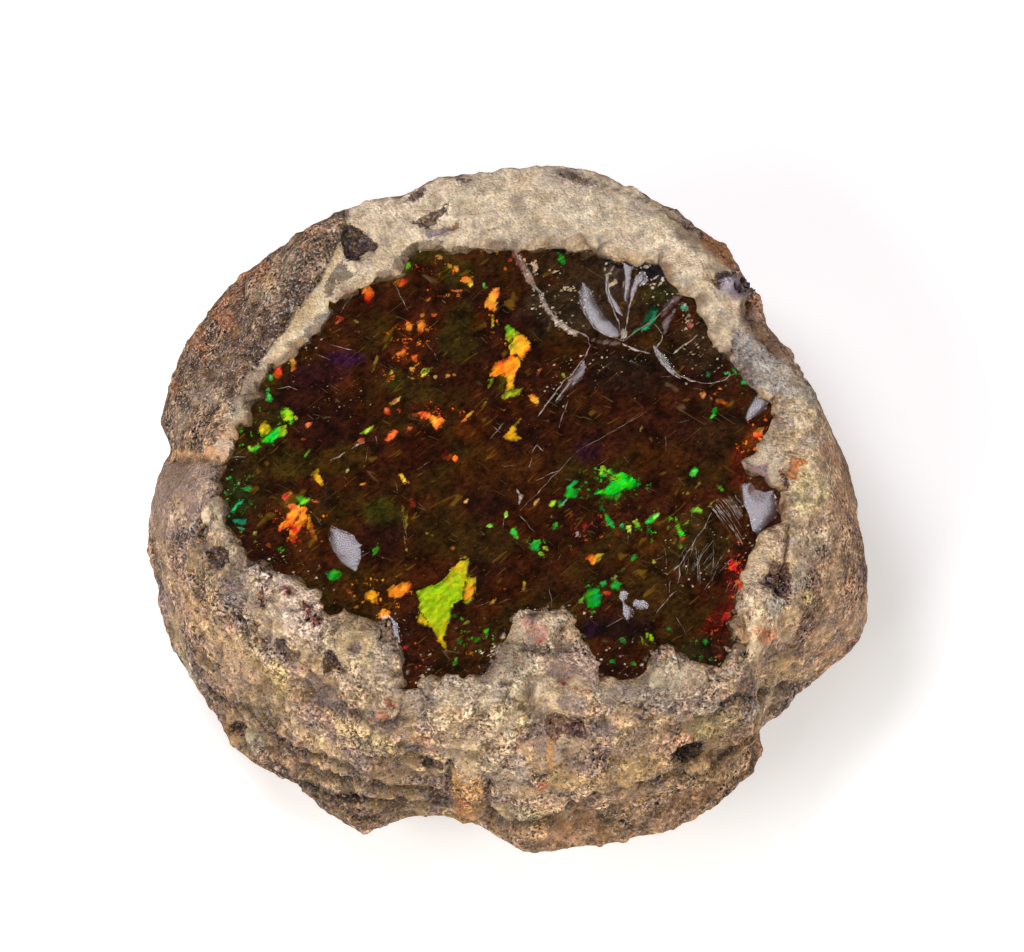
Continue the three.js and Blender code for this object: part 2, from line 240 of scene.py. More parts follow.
def rhyolite():
    """Devitrified rhyolite, broken and weathered: matt, sandy, peppered with dark and pale grains.

    Each grain is its own light or dark speck, so the colour changes sharply within half a millimetre.
    The darker and paler patches end at a ragged line: stone_patch holds their colour, and in its
    alpha how far inside the patch a point lies, with 0.5 at the line.
    """
    made, tree = new_material("rhyolite")
    place = add(tree, "TexCoord").outputs["Object"]
    ground = add(tree, "Attribute", attribute_name="stone_tone").outputs["Color"]
    patch = add(tree, "Attribute", attribute_name="stone_patch")
    parts = add(tree, "Attribute", attribute_name="stone_parts")
    split = add(tree, "SeparateColor", {"Color": parts.outputs["Color"]})
    pepper, speckle, wall = (split.outputs[name] for name in ("Red", "Green", "Blue"))
    grit = parts.outputs["Alpha"]

    sand = add(tree, "TexNoise", {"Vector": place, "Scale": per_metre(0.4), "Detail": 2,
        "Roughness": 0.8})
    ragged = add(tree, "Math", [add(tree, "Math", [sand, 0.5], operation="SUBTRACT"), 0.4],
        operation="MULTIPLY")
    ragged = add(tree, "Math", [patch.outputs["Alpha"], ragged], operation="ADD")
    tone = add(tree, "Mix", {0: add(tree, "MapRange", [ragged, 0.485, 0.515, 0, 1]), 6: ground,
        7: patch.outputs["Color"]}, data_type="RGBA")

    # iron yellow and clay grey stain the ground in clouds 2 mm wide
    stain = add(tree, "TexNoise", {"Vector": place, "Scale": per_metre(2.2), "Detail": 2,
        "Roughness": 0.6})
    yellowed = add(tree, "Mix", {0: add(tree, "MapRange", [stain, 0.52, 0.7, 0, 0.26]), 6: tone,
        7: rgba("#b8935c")}, data_type="RGBA")
    stained = add(tree, "Mix", {0: add(tree, "MapRange", [stain, 0.48, 0.32, 0, 0.3]), 6: yellowed,
        7: rgba("#86776f")}, data_type="RGBA")

    # grains a fifth of a millimetre across, each with its own shade, some clay grey or iron brown
    cells = add(tree, "TexVoronoi", {"Vector": place, "Scale": per_metre(0.21)})
    chance = add(tree, "SeparateColor", {"Color": cells.outputs["Color"]})
    greyer = add(tree, "MapRange", [chance.outputs["Green"], 0.78, 0.82, 0, 0.4])
    browner = add(tree, "MapRange", [chance.outputs["Blue"], 0.8, 0.84, 0, 0.4])
    stained = add(tree, "Mix", {0: greyer, 6: stained, 7: rgba("#8d8388")}, data_type="RGBA")
    stained = add(tree, "Mix", {0: browner, 6: stained, 7: rgba("#a87c4c")}, data_type="RGBA")

    # sand-sized light and shade, two to five pixels of the photograph across
    own = add(tree, "MapRange", [chance.outputs["Red"], 0, 1, 0.45, 1.5])
    shade = add(tree, "Math", [add(tree, "MapRange", [sand, 0.34, 0.66, 0.55, 1.42]), own],
        operation="MULTIPLY")
    shade = add(tree, "Math", [add(tree, "Math", [grit, add(tree, "Math", [shade, 1],
        operation="SUBTRACT")], operation="MULTIPLY"), 1], operation="ADD")

    # dark mineral grains a quarter to half a millimetre across, in swarms where the pepper is
    swarm = add(tree, "Math", [pepper, add(tree, "MapRange", [stain, 0.36, 0.6, 1.2, 0.75])],
        operation="MULTIPLY")
    crumbs = add(tree, "TexNoise", {"Vector": place, "Scale": per_metre(0.27), "Detail": 2,
        "Roughness": 0.75})
    dark = add(tree, "Math", [add(tree, "MapRange", [swarm, 0, 1, 0.2, 0.56]), crumbs],
        operation="SUBTRACT")
    dark_share = add(tree, "MapRange", [dark, -0.01, 0.04, 0, 0.85])
    peppered = add(tree, "Mix", {0: dark_share, 6: add(tree, "VectorMath", {0: stained, "Scale": shade},
        operation="SCALE"), 7: rgba("#38281f")}, data_type="RGBA")

    # pale crumbs of feldspar, a shade greyer where the rock round them is dark
    pale = add(tree, "Math", [crumbs, add(tree, "MapRange", [speckle, 0, 1, 0.8, 0.52])],
        operation="SUBTRACT")
    feldspar = add(tree, "Mix", {0: 0.68, 6: tone, 7: rgba("#eadfc8")}, data_type="RGBA")
    colour = add(tree, "Mix", {0: add(tree, "MapRange", [pale, 0, 0.035, 0, 0.9]), 6: peppered,
        7: feldspar}, data_type="RGBA")

    # scattered rusty grains
    rust = add(tree, "MapRange", [add(tree, "TexNoise", {"Vector": place, "Scale": per_metre(0.6),
        "Detail": 1, "Roughness": 0.7}), 0.62, 0.68, 0, 0.5])
    colour = add(tree, "Mix", {0: add(tree, "Math", [rust, speckle], operation="MULTIPLY"), 6: colour,
        7: rgba("#9c6238")}, data_type="RGBA")

    coarse = add(tree, "Bump", {"Height": sand, "Strength": 1, "Distance": 0.16 * MM})
    bump = add(tree, "Bump", {"Height": cells.outputs["Distance"], "Strength": 0.9, "Distance": 0.09 * MM,
        "Normal": coarse}, invert=True)
    shown = add(tree, "Mix", {0: wall, 6: colour, 7: add(tree, "VectorMath", {0: tone, "Scale": shade},
        operation="SCALE")}, data_type="RGBA")
    stone = add(tree, "BsdfPrincipled", {"Base Color": shown, "Roughness": 0.88, "Normal": bump,
        "Specular IOR Level": 0.18})
    finish_material(tree, stone)
    return made


def precious_opal():
    """Hyalite-like brown opal: clear glassy silica that swallows blue and green within millimetres."""
    made, tree = new_material("precious_opal")
    place = add(tree, "TexCoord").outputs["Object"]
    bump = add(tree, "Bump", {"Height": add(tree, "TexNoise", {"Vector": place, "Scale": per_metre(1.1),
        "Detail": 1, "Roughness": 0.5}), "Strength": 0.25, "Distance": 0.03 * MM})
    # the fresh breaks are finely stepped, so what they mirror blurs
    broken = add(tree, "Attribute", attribute_name="broken").outputs["Fac"]
    blur = add(tree, "MapRange", {"Value": broken, "To Min": 0.05, "To Max": 0.2})
    glassy = add(tree, "BsdfPrincipled", {"Base Color": (1, 1, 1, 1), "Roughness": blur, "IOR": OPAL_IOR,
        "Transmission Weight": 1, "Normal": bump})
    # over 2 mm red keeps nine tenths, green four fifths and blue under two thirds
    honey = add(tree, "VolumeAbsorption", {"Color": (0.8, 0.55, 0.0, 1), "Density": 230})
    finish_material(tree, glassy, honey)
    return made


def fire():
    """Play of colour: flakes give back one pure colour and the body round them is brown and olive, both
    also emitted as a painted glow that stands in for the play of colour under the lamps.

    The flakes' ragged edges, their mottling, the embers between them, the thin growth lines and the
    dust all come from noise.
    """
    made, tree = new_material("fire")
    place = add(tree, "TexCoord").outputs["Object"]
    body, ember, flake = (add(tree, "Attribute", attribute_name=name) for name in ("body_colour",
        "ember_colour", "flake_colour"))
    level = add(tree, "Mapping", {"Vector": place, "Scale": (1, 1, 0)})

    def drawn_out(turn, squeeze):
        """Coordinates in which a pattern runs out long in one direction of the face."""
        turned = add(tree, "Mapping", {"Vector": level, "Rotation": (0, 0, -turn)})
        return add(tree, "Mapping", {"Vector": turned, "Scale": (squeeze, 1, 0)})

    # the body, clouded at 1 mm and below
    cloud = add(tree, "Math", [add(tree, "MapRange", [add(tree, "TexNoise", {"Vector": level,
        "Scale": per_metre(1.7), "Detail": 3, "Roughness": 0.6}), 0.34, 0.66, 0.35, 1.75]), add(tree,
        "MapRange", [add(tree, "TexNoise", {"Vector": drawn_out(0.6, 0.6), "Scale": per_metre(0.34),
        "Detail": 3, "Roughness": 0.75}), 0.36, 0.64, 0.45, 1.6])], operation="MULTIPLY")
    clouded = add(tree, "VectorMath", {0: body.outputs["Color"], "Scale": cloud}, operation="SCALE")

    # growth lines: thin contours of slow drawn-out noise, broken up by a second noise
    breaks = add(tree, "TexNoise", {"Vector": level, "Scale": per_metre(1.6), "Detail": 1,
        "Roughness": 0.6})

    def threads(vector, size, width, start, full):
        off = add(tree, "Math", [add(tree, "Math", [add(tree, "TexNoise", {"Vector": vector,
            "Scale": per_metre(size), "Detail": 1, "Roughness": 0.4}), 0.5], operation="SUBTRACT"), 0],
            operation="ABSOLUTE")
        return add(tree, "Math", [add(tree, "MapRange", [off, 0, width, 1, 0]), add(tree, "MapRange",
            [breaks, start, full, 0, 1])], operation="MULTIPLY")

    golden = threads(drawn_out(0.72, 0.09), 1.6, 0.012, 0.53, 0.61)
    pale = threads(drawn_out(-0.55, 0.12), 1.9, 0.007, 0.44, 0.36)
    lined = add(tree, "Mix", {0: add(tree, "Math", [golden, 0.42], operation="MULTIPLY"), 6: clouded,
        7: rgba("#8a6a1c")}, data_type="RGBA")
    lined = add(tree, "Mix", {0: add(tree, "Math", [pale, 0.3], operation="MULTIPLY"), 6: lined,
        7: rgba("#8f7a5c")}, data_type="RGBA")

    # facets: the opal's domains, a third of a millimetre across, each with its own brightness and hue
    domains = add(tree, "TexVoronoi", {"Vector": drawn_out(0.7, 0.55), "Scale": per_metre(0.3)},
        voronoi_dimensions="2D")
    facet = add(tree, "SeparateColor", {"Color": domains.outputs["Color"]}).outputs

    # embers: scraps of fire a few tenths of a millimetre wide, brighter and yellower in their middle
    heat = add(tree, "Math", [add(tree, "TexNoise", {"Vector": level, "Scale": per_metre(0.72),
        "Detail": 3, "Roughness": 0.75}), add(tree, "MapRange", [ember.outputs["Alpha"], 0, 1, 0.75,
        0.56])], operation="SUBTRACT")
    heat = add(tree, "Math", [heat, add(tree, "MapRange", [facet["Red"], 0, 1, -0.05, 0.05])],
        operation="ADD")
    glow = add(tree, "VectorMath", {0: ember.outputs["Color"], "Scale": add(tree, "MapRange", [heat, 0,
        0.1, 0.25, 1.15])}, operation="SCALE")
    glow = add(tree, "HueSaturation", {"Hue": add(tree, "MapRange", [heat, 0, 0.1, 0.485, 0.54]),
        "Color": glow})
    lit = add(tree, "Mix", {0: add(tree, "MapRange", [heat, 0, 0.03, 0, 1]), 6: lined, 7: glow},
        data_type="RGBA")
    sparks = add(tree, "Math", [add(tree, "TexNoise", {"Vector": level, "Scale": per_metre(0.22),
        "Detail": 1, "Roughness": 0.5}), 0.77], operation="SUBTRACT")
    drift = add(tree, "TexNoise", {"Vector": level, "Scale": per_metre(0.8), "Detail": 2,
        "Roughness": 0.6})
    spark_hue = add(tree, "Mix", {0: add(tree, "MapRange", [drift, 0.4, 0.6, 0, 1]), 6: rgba("#c8641c"),
        7: rgba("#8a9a28")}, data_type="RGBA")
    lit = add(tree, "Mix", {0: add(tree, "MapRange", [sparks, 0, 0.04, 0, 0.9]), 6: lit, 7: spark_hue},
        data_type="RGBA")

    # flakes: darker and mottled towards their ragged edges
    wobble = add(tree, "MapRange", [add(tree, "TexNoise", {"Vector": drawn_out(0.7, 0.4),
        "Scale": per_metre(0.34), "Detail": 3, "Roughness": 0.7}), 0, 1, -0.6, 0.6])
    edge = add(tree, "Math", [add(tree, "Math", [flake.outputs["Alpha"], wobble], operation="ADD"),
        add(tree, "MapRange", [facet["Red"], 0, 1, -0.4, 0.3])], operation="ADD")
    mottle = add(tree, "MapRange", [add(tree, "TexNoise", {"Vector": drawn_out(0.8, 0.4),
        "Scale": per_metre(0.5), "Detail": 3, "Roughness": 0.7}), 0.36, 0.64, 0.3, 1.35])
    calm = add(tree, "MapRange", [flake.outputs["Alpha"], 0.9, 1.9, 0, 0.6])
    mottle = add(tree, "Math", [add(tree, "Math", [mottle, add(tree, "Math", [1, calm],
        operation="SUBTRACT")], operation="MULTIPLY"), calm], operation="ADD")
    turned = add(tree, "HueSaturation", {"Hue": add(tree, "Math", [add(tree, "MapRange", [drift, 0.3, 0.7,
        0.475, 0.525]), add(tree, "MapRange", [facet["Blue"], 0, 1, -0.012, 0.02])], operation="ADD"),
        "Color": flake.outputs["Color"]})
    fading = add(tree, "Math", [add(tree, "Math", [mottle, add(tree, "MapRange", [facet["Green"], 0, 1,
        0.75, 1.2])], operation="MULTIPLY"), add(tree, "MapRange", [edge, 0.42, 1.05, 0.35, 0.88])],
        operation="MULTIPLY")
    colour = add(tree, "Mix", {0: add(tree, "MapRange", [edge, 0.42, 0.54, 0, 1]), 6: lit, 7: add(tree,
        "VectorMath", {0: turned, "Scale": fading}, operation="SCALE")}, data_type="RGBA")

    # dust: pale specks of every size, thick on the chipped and crushed places
    cells = add(tree, "TexVoronoi", {"Vector": drawn_out(0.5, 0.6), "Scale": per_metre(0.24),
        "Exponent": 0.7}, voronoi_dimensions="2D", distance="MINKOWSKI")
    chance = add(tree, "SeparateColor", {"Color": cells.outputs["Color"]})
    clumps = add(tree, "MapRange", [add(tree, "TexNoise", {"Vector": level, "Scale": per_metre(0.9),
        "Detail": 2, "Roughness": 0.7}), 0.42, 0.62, 0.1, 1.5])
    thick = add(tree, "Math", [body.outputs["Alpha"], clumps], operation="MULTIPLY")
    reach = add(tree, "Math", [add(tree, "Math", [chance.outputs["Red"], 4], operation="POWER"), thick],
        operation="MULTIPLY")
    inward = add(tree, "Math", [reach, cells.outputs["Distance"]], operation="SUBTRACT")
    speck = add(tree, "Math", [add(tree, "MapRange", [inward, 0, 0.2, 0, 1]), add(tree, "MapRange",
        [chance.outputs["Green"], 0, 1, 0.3, 0.9])], operation="MULTIPLY")
    dusted = add(tree, "Mix", {0: speck, 6: colour, 7: rgba("#d6c4b0")}, data_type="RGBA")
    # painted glow: the colour is emitted as well, so flakes, body, embers, sparks and dust shine of
    # themselves
    painted_glow = add(tree, "BsdfPrincipled", {"Base Color": dusted, "Roughness": 0.5,
        "Emission Color": dusted, "Emission Strength": 0.8, "Specular IOR Level": 0.0})
    finish_material(tree, painted_glow)
    return made


def bruised_opal():
    """Crushed edges of cracks and dust in them: fine white powder of the same silica."""
    made, tree = new_material("bruised_opal")
    place = add(tree, "TexCoord").outputs["Object"]
    share = add(tree, "MapRange", [add(tree, "TexNoise", {"Vector": place, "Scale": per_metre(0.4),
        "Detail": 4, "Roughness": 0.8}), 0.36, 0.66, 0, 1])
    powder = add(tree, "BsdfPrincipled", {"Base Color": add(tree, "Mix", {0: share, 6: rgba("#3b2a22"),
        7: rgba("#cdbcae")}, data_type="RGBA"), "Roughness": 0.7, "Specular IOR Level": 0.3})
    finish_material(tree, powder)
    return made


# The rock

# Zones of the rock as the photograph shows them: outline, palette and how peppered and speckled
BEVEL_SKIN = [
    (342, 203), (346, 222), (335, 250), (302, 308), (270, 349), (240, 398), (222, 440), (200, 452),
    (150, 450), (150, 405), (160, 360), (190, 320), (215, 280), (240, 255), (280, 230), (310, 210)]
LEFT_LOBE = [
    (150, 452), (222, 462), (219, 500), (200, 515), (178, 528), (158, 540), (130, 545), (140, 500)]
FLANK = [
    (130, 545), (170, 530), (212, 520), (262, 552), (300, 592), (330, 618), (380, 612), (402, 640),
    (404, 690), (440, 676), (492, 668), (508, 615), (572, 612), (604, 672), (640, 672), (660, 648),
    (700, 678), (740, 668), (775, 640), (800, 650), (830, 690), (790, 730), (770, 770), (720, 830),
    (540, 880), (360, 860), (200, 770), (130, 620)]
RIGHT_SKIN = [
    (790, 395), (815, 420), (838, 450), (850, 500), (905, 560), (900, 640), (800, 720), (775, 690),
    (790, 640), (800, 590), (796, 540), (800, 480), (792, 430)]
FAR_RIGHT_SKIN = [
    (655, 190), (690, 232), (722, 262), (748, 300), (752, 330), (790, 372), (830, 412), (860, 400),
    (800, 300), (760, 230), (700, 195)]
GREY_BEVEL = [
    (730, 331), (747, 327), (774, 356), (808, 384), (830, 411), (806, 404), (776, 393), (754, 384),
    (736, 356)]
SHELF_SKIN = [
    (488, 829), (538, 828), (570, 805), (640, 792), (700, 772), (750, 742), (790, 720), (800, 790),
    (640, 870), (500, 870)]

CREAM_EDGE = [
    (346, 222), (352, 240), (337, 262), (329, 290), (331, 303), (319, 325), (302, 342), (287, 353),
    (266, 358), (268, 350), (278, 330), (295, 310), (312, 285), (322, 262), (335, 240)]
LEFT_SKIN = [
    (130, 520), (160, 515), (190, 518), (204, 540), (206, 580), (200, 620), (205, 660), (190, 680),
    (160, 640), (130, 580)]
RIGHT_ROCK = [
    (756, 330), (800, 390), (838, 440), (846, 490), (838, 530), (812, 548), (800, 590), (796, 640),
    (770, 680), (745, 660), (760, 600), (770, 540), (780, 470), (770, 420), (775, 395)]

FRESH = ["#d3bfa1", "#c3b397", "#cebb9e", "#dac7a8"]
CREAM = ["#e4cea4", "#d8c298", "#e8d6b2", "#d4c096"]
NEAR_RIM = ["#d6be9c", "#a8957e", "#ceb48c", "#c4aa94"]
MATRIX = ["#d6bb96", "#94827a", "#c6a87e", "#c09c86"]
SKIN = ["#987a5c", "#5a4234", "#ac8f72", "#6e5546"]
PALE_SKIN = ["#c4a88a", "#ae9076", "#d0b89a", "#b49a86"]
ROCK = ["#ceb28c", "#b29780", "#d0b890", "#b8a486"]
BEVEL = ["#665043", "#786250", "#4a3a31", "#887058"]
LOBE = ["#917d72", "#a5907f", "#7c6a60", "#98846f"]
GREY = ["#a8a094", "#98928c", "#b3aa9a", "#9f978c"]
SHELF = ["#b08e6a", "#bd9c7a", "#977655", "#c2a280"]

# Broad marks on the rock: place, half width and height in pixels, turn in degrees, colour, strength
MARKS = [
    # orange-brown rim of the long bevel and of the far skin, and the bevel's paler clouds
    ((248, 263), 28, 11, 40, "#9c6640", 0.9), ((214, 306), 34, 11, 58, "#9a6440", 0.9),
    ((722, 250), 28, 9, 36, "#a06c40", 0.9), ((752, 300), 5, 18, -12, "#8a5a38", 0.8),
    ((290, 300), 24, 15, 50, "#55463d", 0.6), ((250, 345), 24, 30, 40, "#5b4b41", 0.5),
    ((225, 280), 26, 16, 48, "#9a6844", 0.9), ((255, 252), 30, 12, 35, "#966848", 0.8),
    ((190, 330), 32, 11, 58, "#946644", 0.8), ((168, 385), 30, 9, 80, "#8a6246", 0.7),
    ((300, 222), 26, 9, 25, "#957258", 0.6), ((185, 455), 30, 5, 0, "#c79c72", 0.9),
    ((228, 430), 9, 24, -20, "#c39a72", 0.8), ((215, 452), 12, 8, 20, "#cda07a", 0.8),
    ((205, 392), 18, 14, 0, "#a3937f", 0.6), ((262, 292), 18, 14, 30, "#a0907a", 0.6),
    ((232, 412), 12, 14, 0, "#a89b80", 0.5), ((300, 275), 16, 22, 20, "#57463e", 0.5),
    ((175, 415), 14, 12, 0, "#8d8376", 0.6), ((272, 280), 9, 7, 0, "#b08a62", 0.7),
    ((285, 268), 14, 20, 30, "#a99c82", 0.5), ((195, 372), 16, 12, 0, "#4e4038", 0.6),
    # the far broken rock
    ((560, 180), 22, 9, 10, "#a89c90", 0.5), ((625, 200), 26, 8, 25, "#a39788", 0.5),
    ((690, 232), 16, 10, 30, "#8c7664", 0.7), ((600, 215), 60, 14, 10, "#d8caac", 0.5),
    ((480, 205), 50, 16, 0, "#d3c3a4", 0.5), ((395, 245), 16, 12, 0, "#d2c19c", 0.7),
    ((330, 262), 6, 20, 20, "#c9ae84", 0.7), ((300, 320), 8, 26, 40, "#cbb184", 0.6),
    # emptied bead and the grey ring round it; the near-black spot in the small hollow is painted shade
    ((733, 286), 22, 15, 20, "#8f8586", 0.6),
    ((745, 318), 5, 22, -8, "#5c4233", 0.8), ((768, 347), 9, 6, 30, "#30241f", 0.9),
    ((757, 322), 7, 20, -25, "#8e6d58", 0.6), ((719, 315), 5, 5, 0, "#8c8490", 0.7),
    ((700, 290), 14, 12, 0, "#d6c09a", 0.6), ((731, 351), 5, 5, 0, "#2c1d18", 0.9),
    # right side: mauve and yellow stains
    ((806, 492), 16, 18, 0, "#cbbb84", 0.6), ((812, 545), 20, 10, -15, "#9c9078", 0.6),
    ((838, 500), 10, 20, 10, "#9c7b64", 0.6), ((800, 412), 22, 14, 20, "#c2b494", 0.6),
    ((812, 438), 14, 12, 0, "#a89a88", 0.6), ((832, 452), 12, 9, 0, "#92705e", 0.7),
    ((840, 497), 6, 7, 0, "#8a6450", 0.8), ((835, 462), 7, 5, 0, "#8a6656", 0.8),
    ((850, 600), 14, 30, 0, "#b08d70", 0.6), ((805, 600), 8, 9, 0, "#b8a66c", 0.6),
    ((799, 652), 5, 5, 0, "#5a464c", 0.9), ((800, 575), 8, 12, 0, "#8f8c7c", 0.7),
    ((845, 620), 20, 26, 20, "#8d7360", 0.5), ((826, 575), 12, 20, 0, "#8f7562", 0.6),
    # rock at the near edge of the opal
    ((520, 660), 22, 18, 0, "#c9b898", 0.6), ((664, 676), 20, 18, 0, "#c0b194", 0.7),
    ((505, 684), 6, 5, 0, "#3c302a", 0.85), ((620, 690), 26, 8, 0, "#9a8f8a", 0.6),
    ((497, 655), 8, 8, 0, "#d0b896", 0.7), ((524, 646), 9, 7, 0, "#cfc0a2", 0.8),
    # left side of the flank
    ((235, 548), 14, 20, 20, "#c3b294", 0.6), ((236, 594), 13, 14, -30, "#7c7270", 0.85),
    ((245, 566), 8, 12, 0, "#8a8286", 0.7), ((208, 590), 12, 36, -20, "#b5a47a", 0.6),
    ((262, 660), 36, 14, 60, "#bfae7e", 0.6), ((356, 640), 26, 23, 0, "#c8b080", 0.85),
    ((354, 626), 24, 6, 0, "#4c3c30", 0.6), ((318, 657), 9, 6, 0, "#4c3c30", 0.6),
    ((386, 634), 12, 16, 0, "#b3a290", 0.6), ((282, 684), 8, 20, 0, "#c6b274", 0.7),
    ((255, 742), 16, 8, 30, "#c2c0a8", 0.7), ((262, 640), 20, 12, 50, "#9c8e84", 0.5),
    ((230, 680), 26, 30, 40, "#a08878", 0.5), ((385, 815), 40, 9, 0, "#7c6a5c", 0.6),
    ((310, 795), 60, 10, 22, "#7b6856", 0.5), ((196, 530), 9, 8, 0, "#a6a298", 0.7),
    # middle and right of the flank
    ((430, 716), 12, 18, 0, "#8c827a", 0.5), ((506, 770), 24, 22, 0, "#9c958c", 0.6),
    ((540, 722), 12, 18, 10, "#877773", 0.7), ((578, 726), 14, 14, 0, "#6c5a58", 0.6),
    ((590, 746), 34, 10, 0, "#8a7a74", 0.5), ((620, 775), 66, 14, -8, "#c2a676", 0.7),
    ((560, 800), 34, 12, -14, "#c6ab8e", 0.7), ((715, 725), 30, 14, -20, "#b9ab78", 0.6),
    ((780, 690), 18, 14, -30, "#9a9080", 0.6), ((770, 745), 10, 12, 20, "#a88468", 0.7),
    ((528, 815), 40, 7, 2, "#b5a788", 0.8), ((512, 712), 22, 20, 0, "#cfc08e", 0.6),
    ((508, 728), 8, 5, 0, "#b9b2ae", 0.7), ((700, 703), 20, 10, 0, "#b3a798", 0.6),
    ((524, 734), 4, 4, 0, "#2e2a18", 0.9), ((640, 733), 5, 5, 0, "#4c3028", 0.8),
    ((694, 800), 60, 12, -22, "#a37e66", 0.5), ((548, 838), 30, 7, 0, "#b08a6c", 0.6),
    ((424, 706), 20, 18, 20, "#85786e", 0.7), ((392, 772), 26, 12, 10, "#86705c", 0.6),
    ((553, 752), 22, 12, 0, "#857670", 0.7), ((703, 672), 14, 12, 0, "#9a8670", 0.6),
    ((636, 742), 16, 12, 0, "#8d7a6a", 0.6), ((459, 822), 16, 7, 0, "#7c6450", 0.7),
    ((248, 383), 12, 24, 28, "#8c745c", 0.6), ((160, 416), 10, 26, 0, "#5c4a3c", 0.7),
]
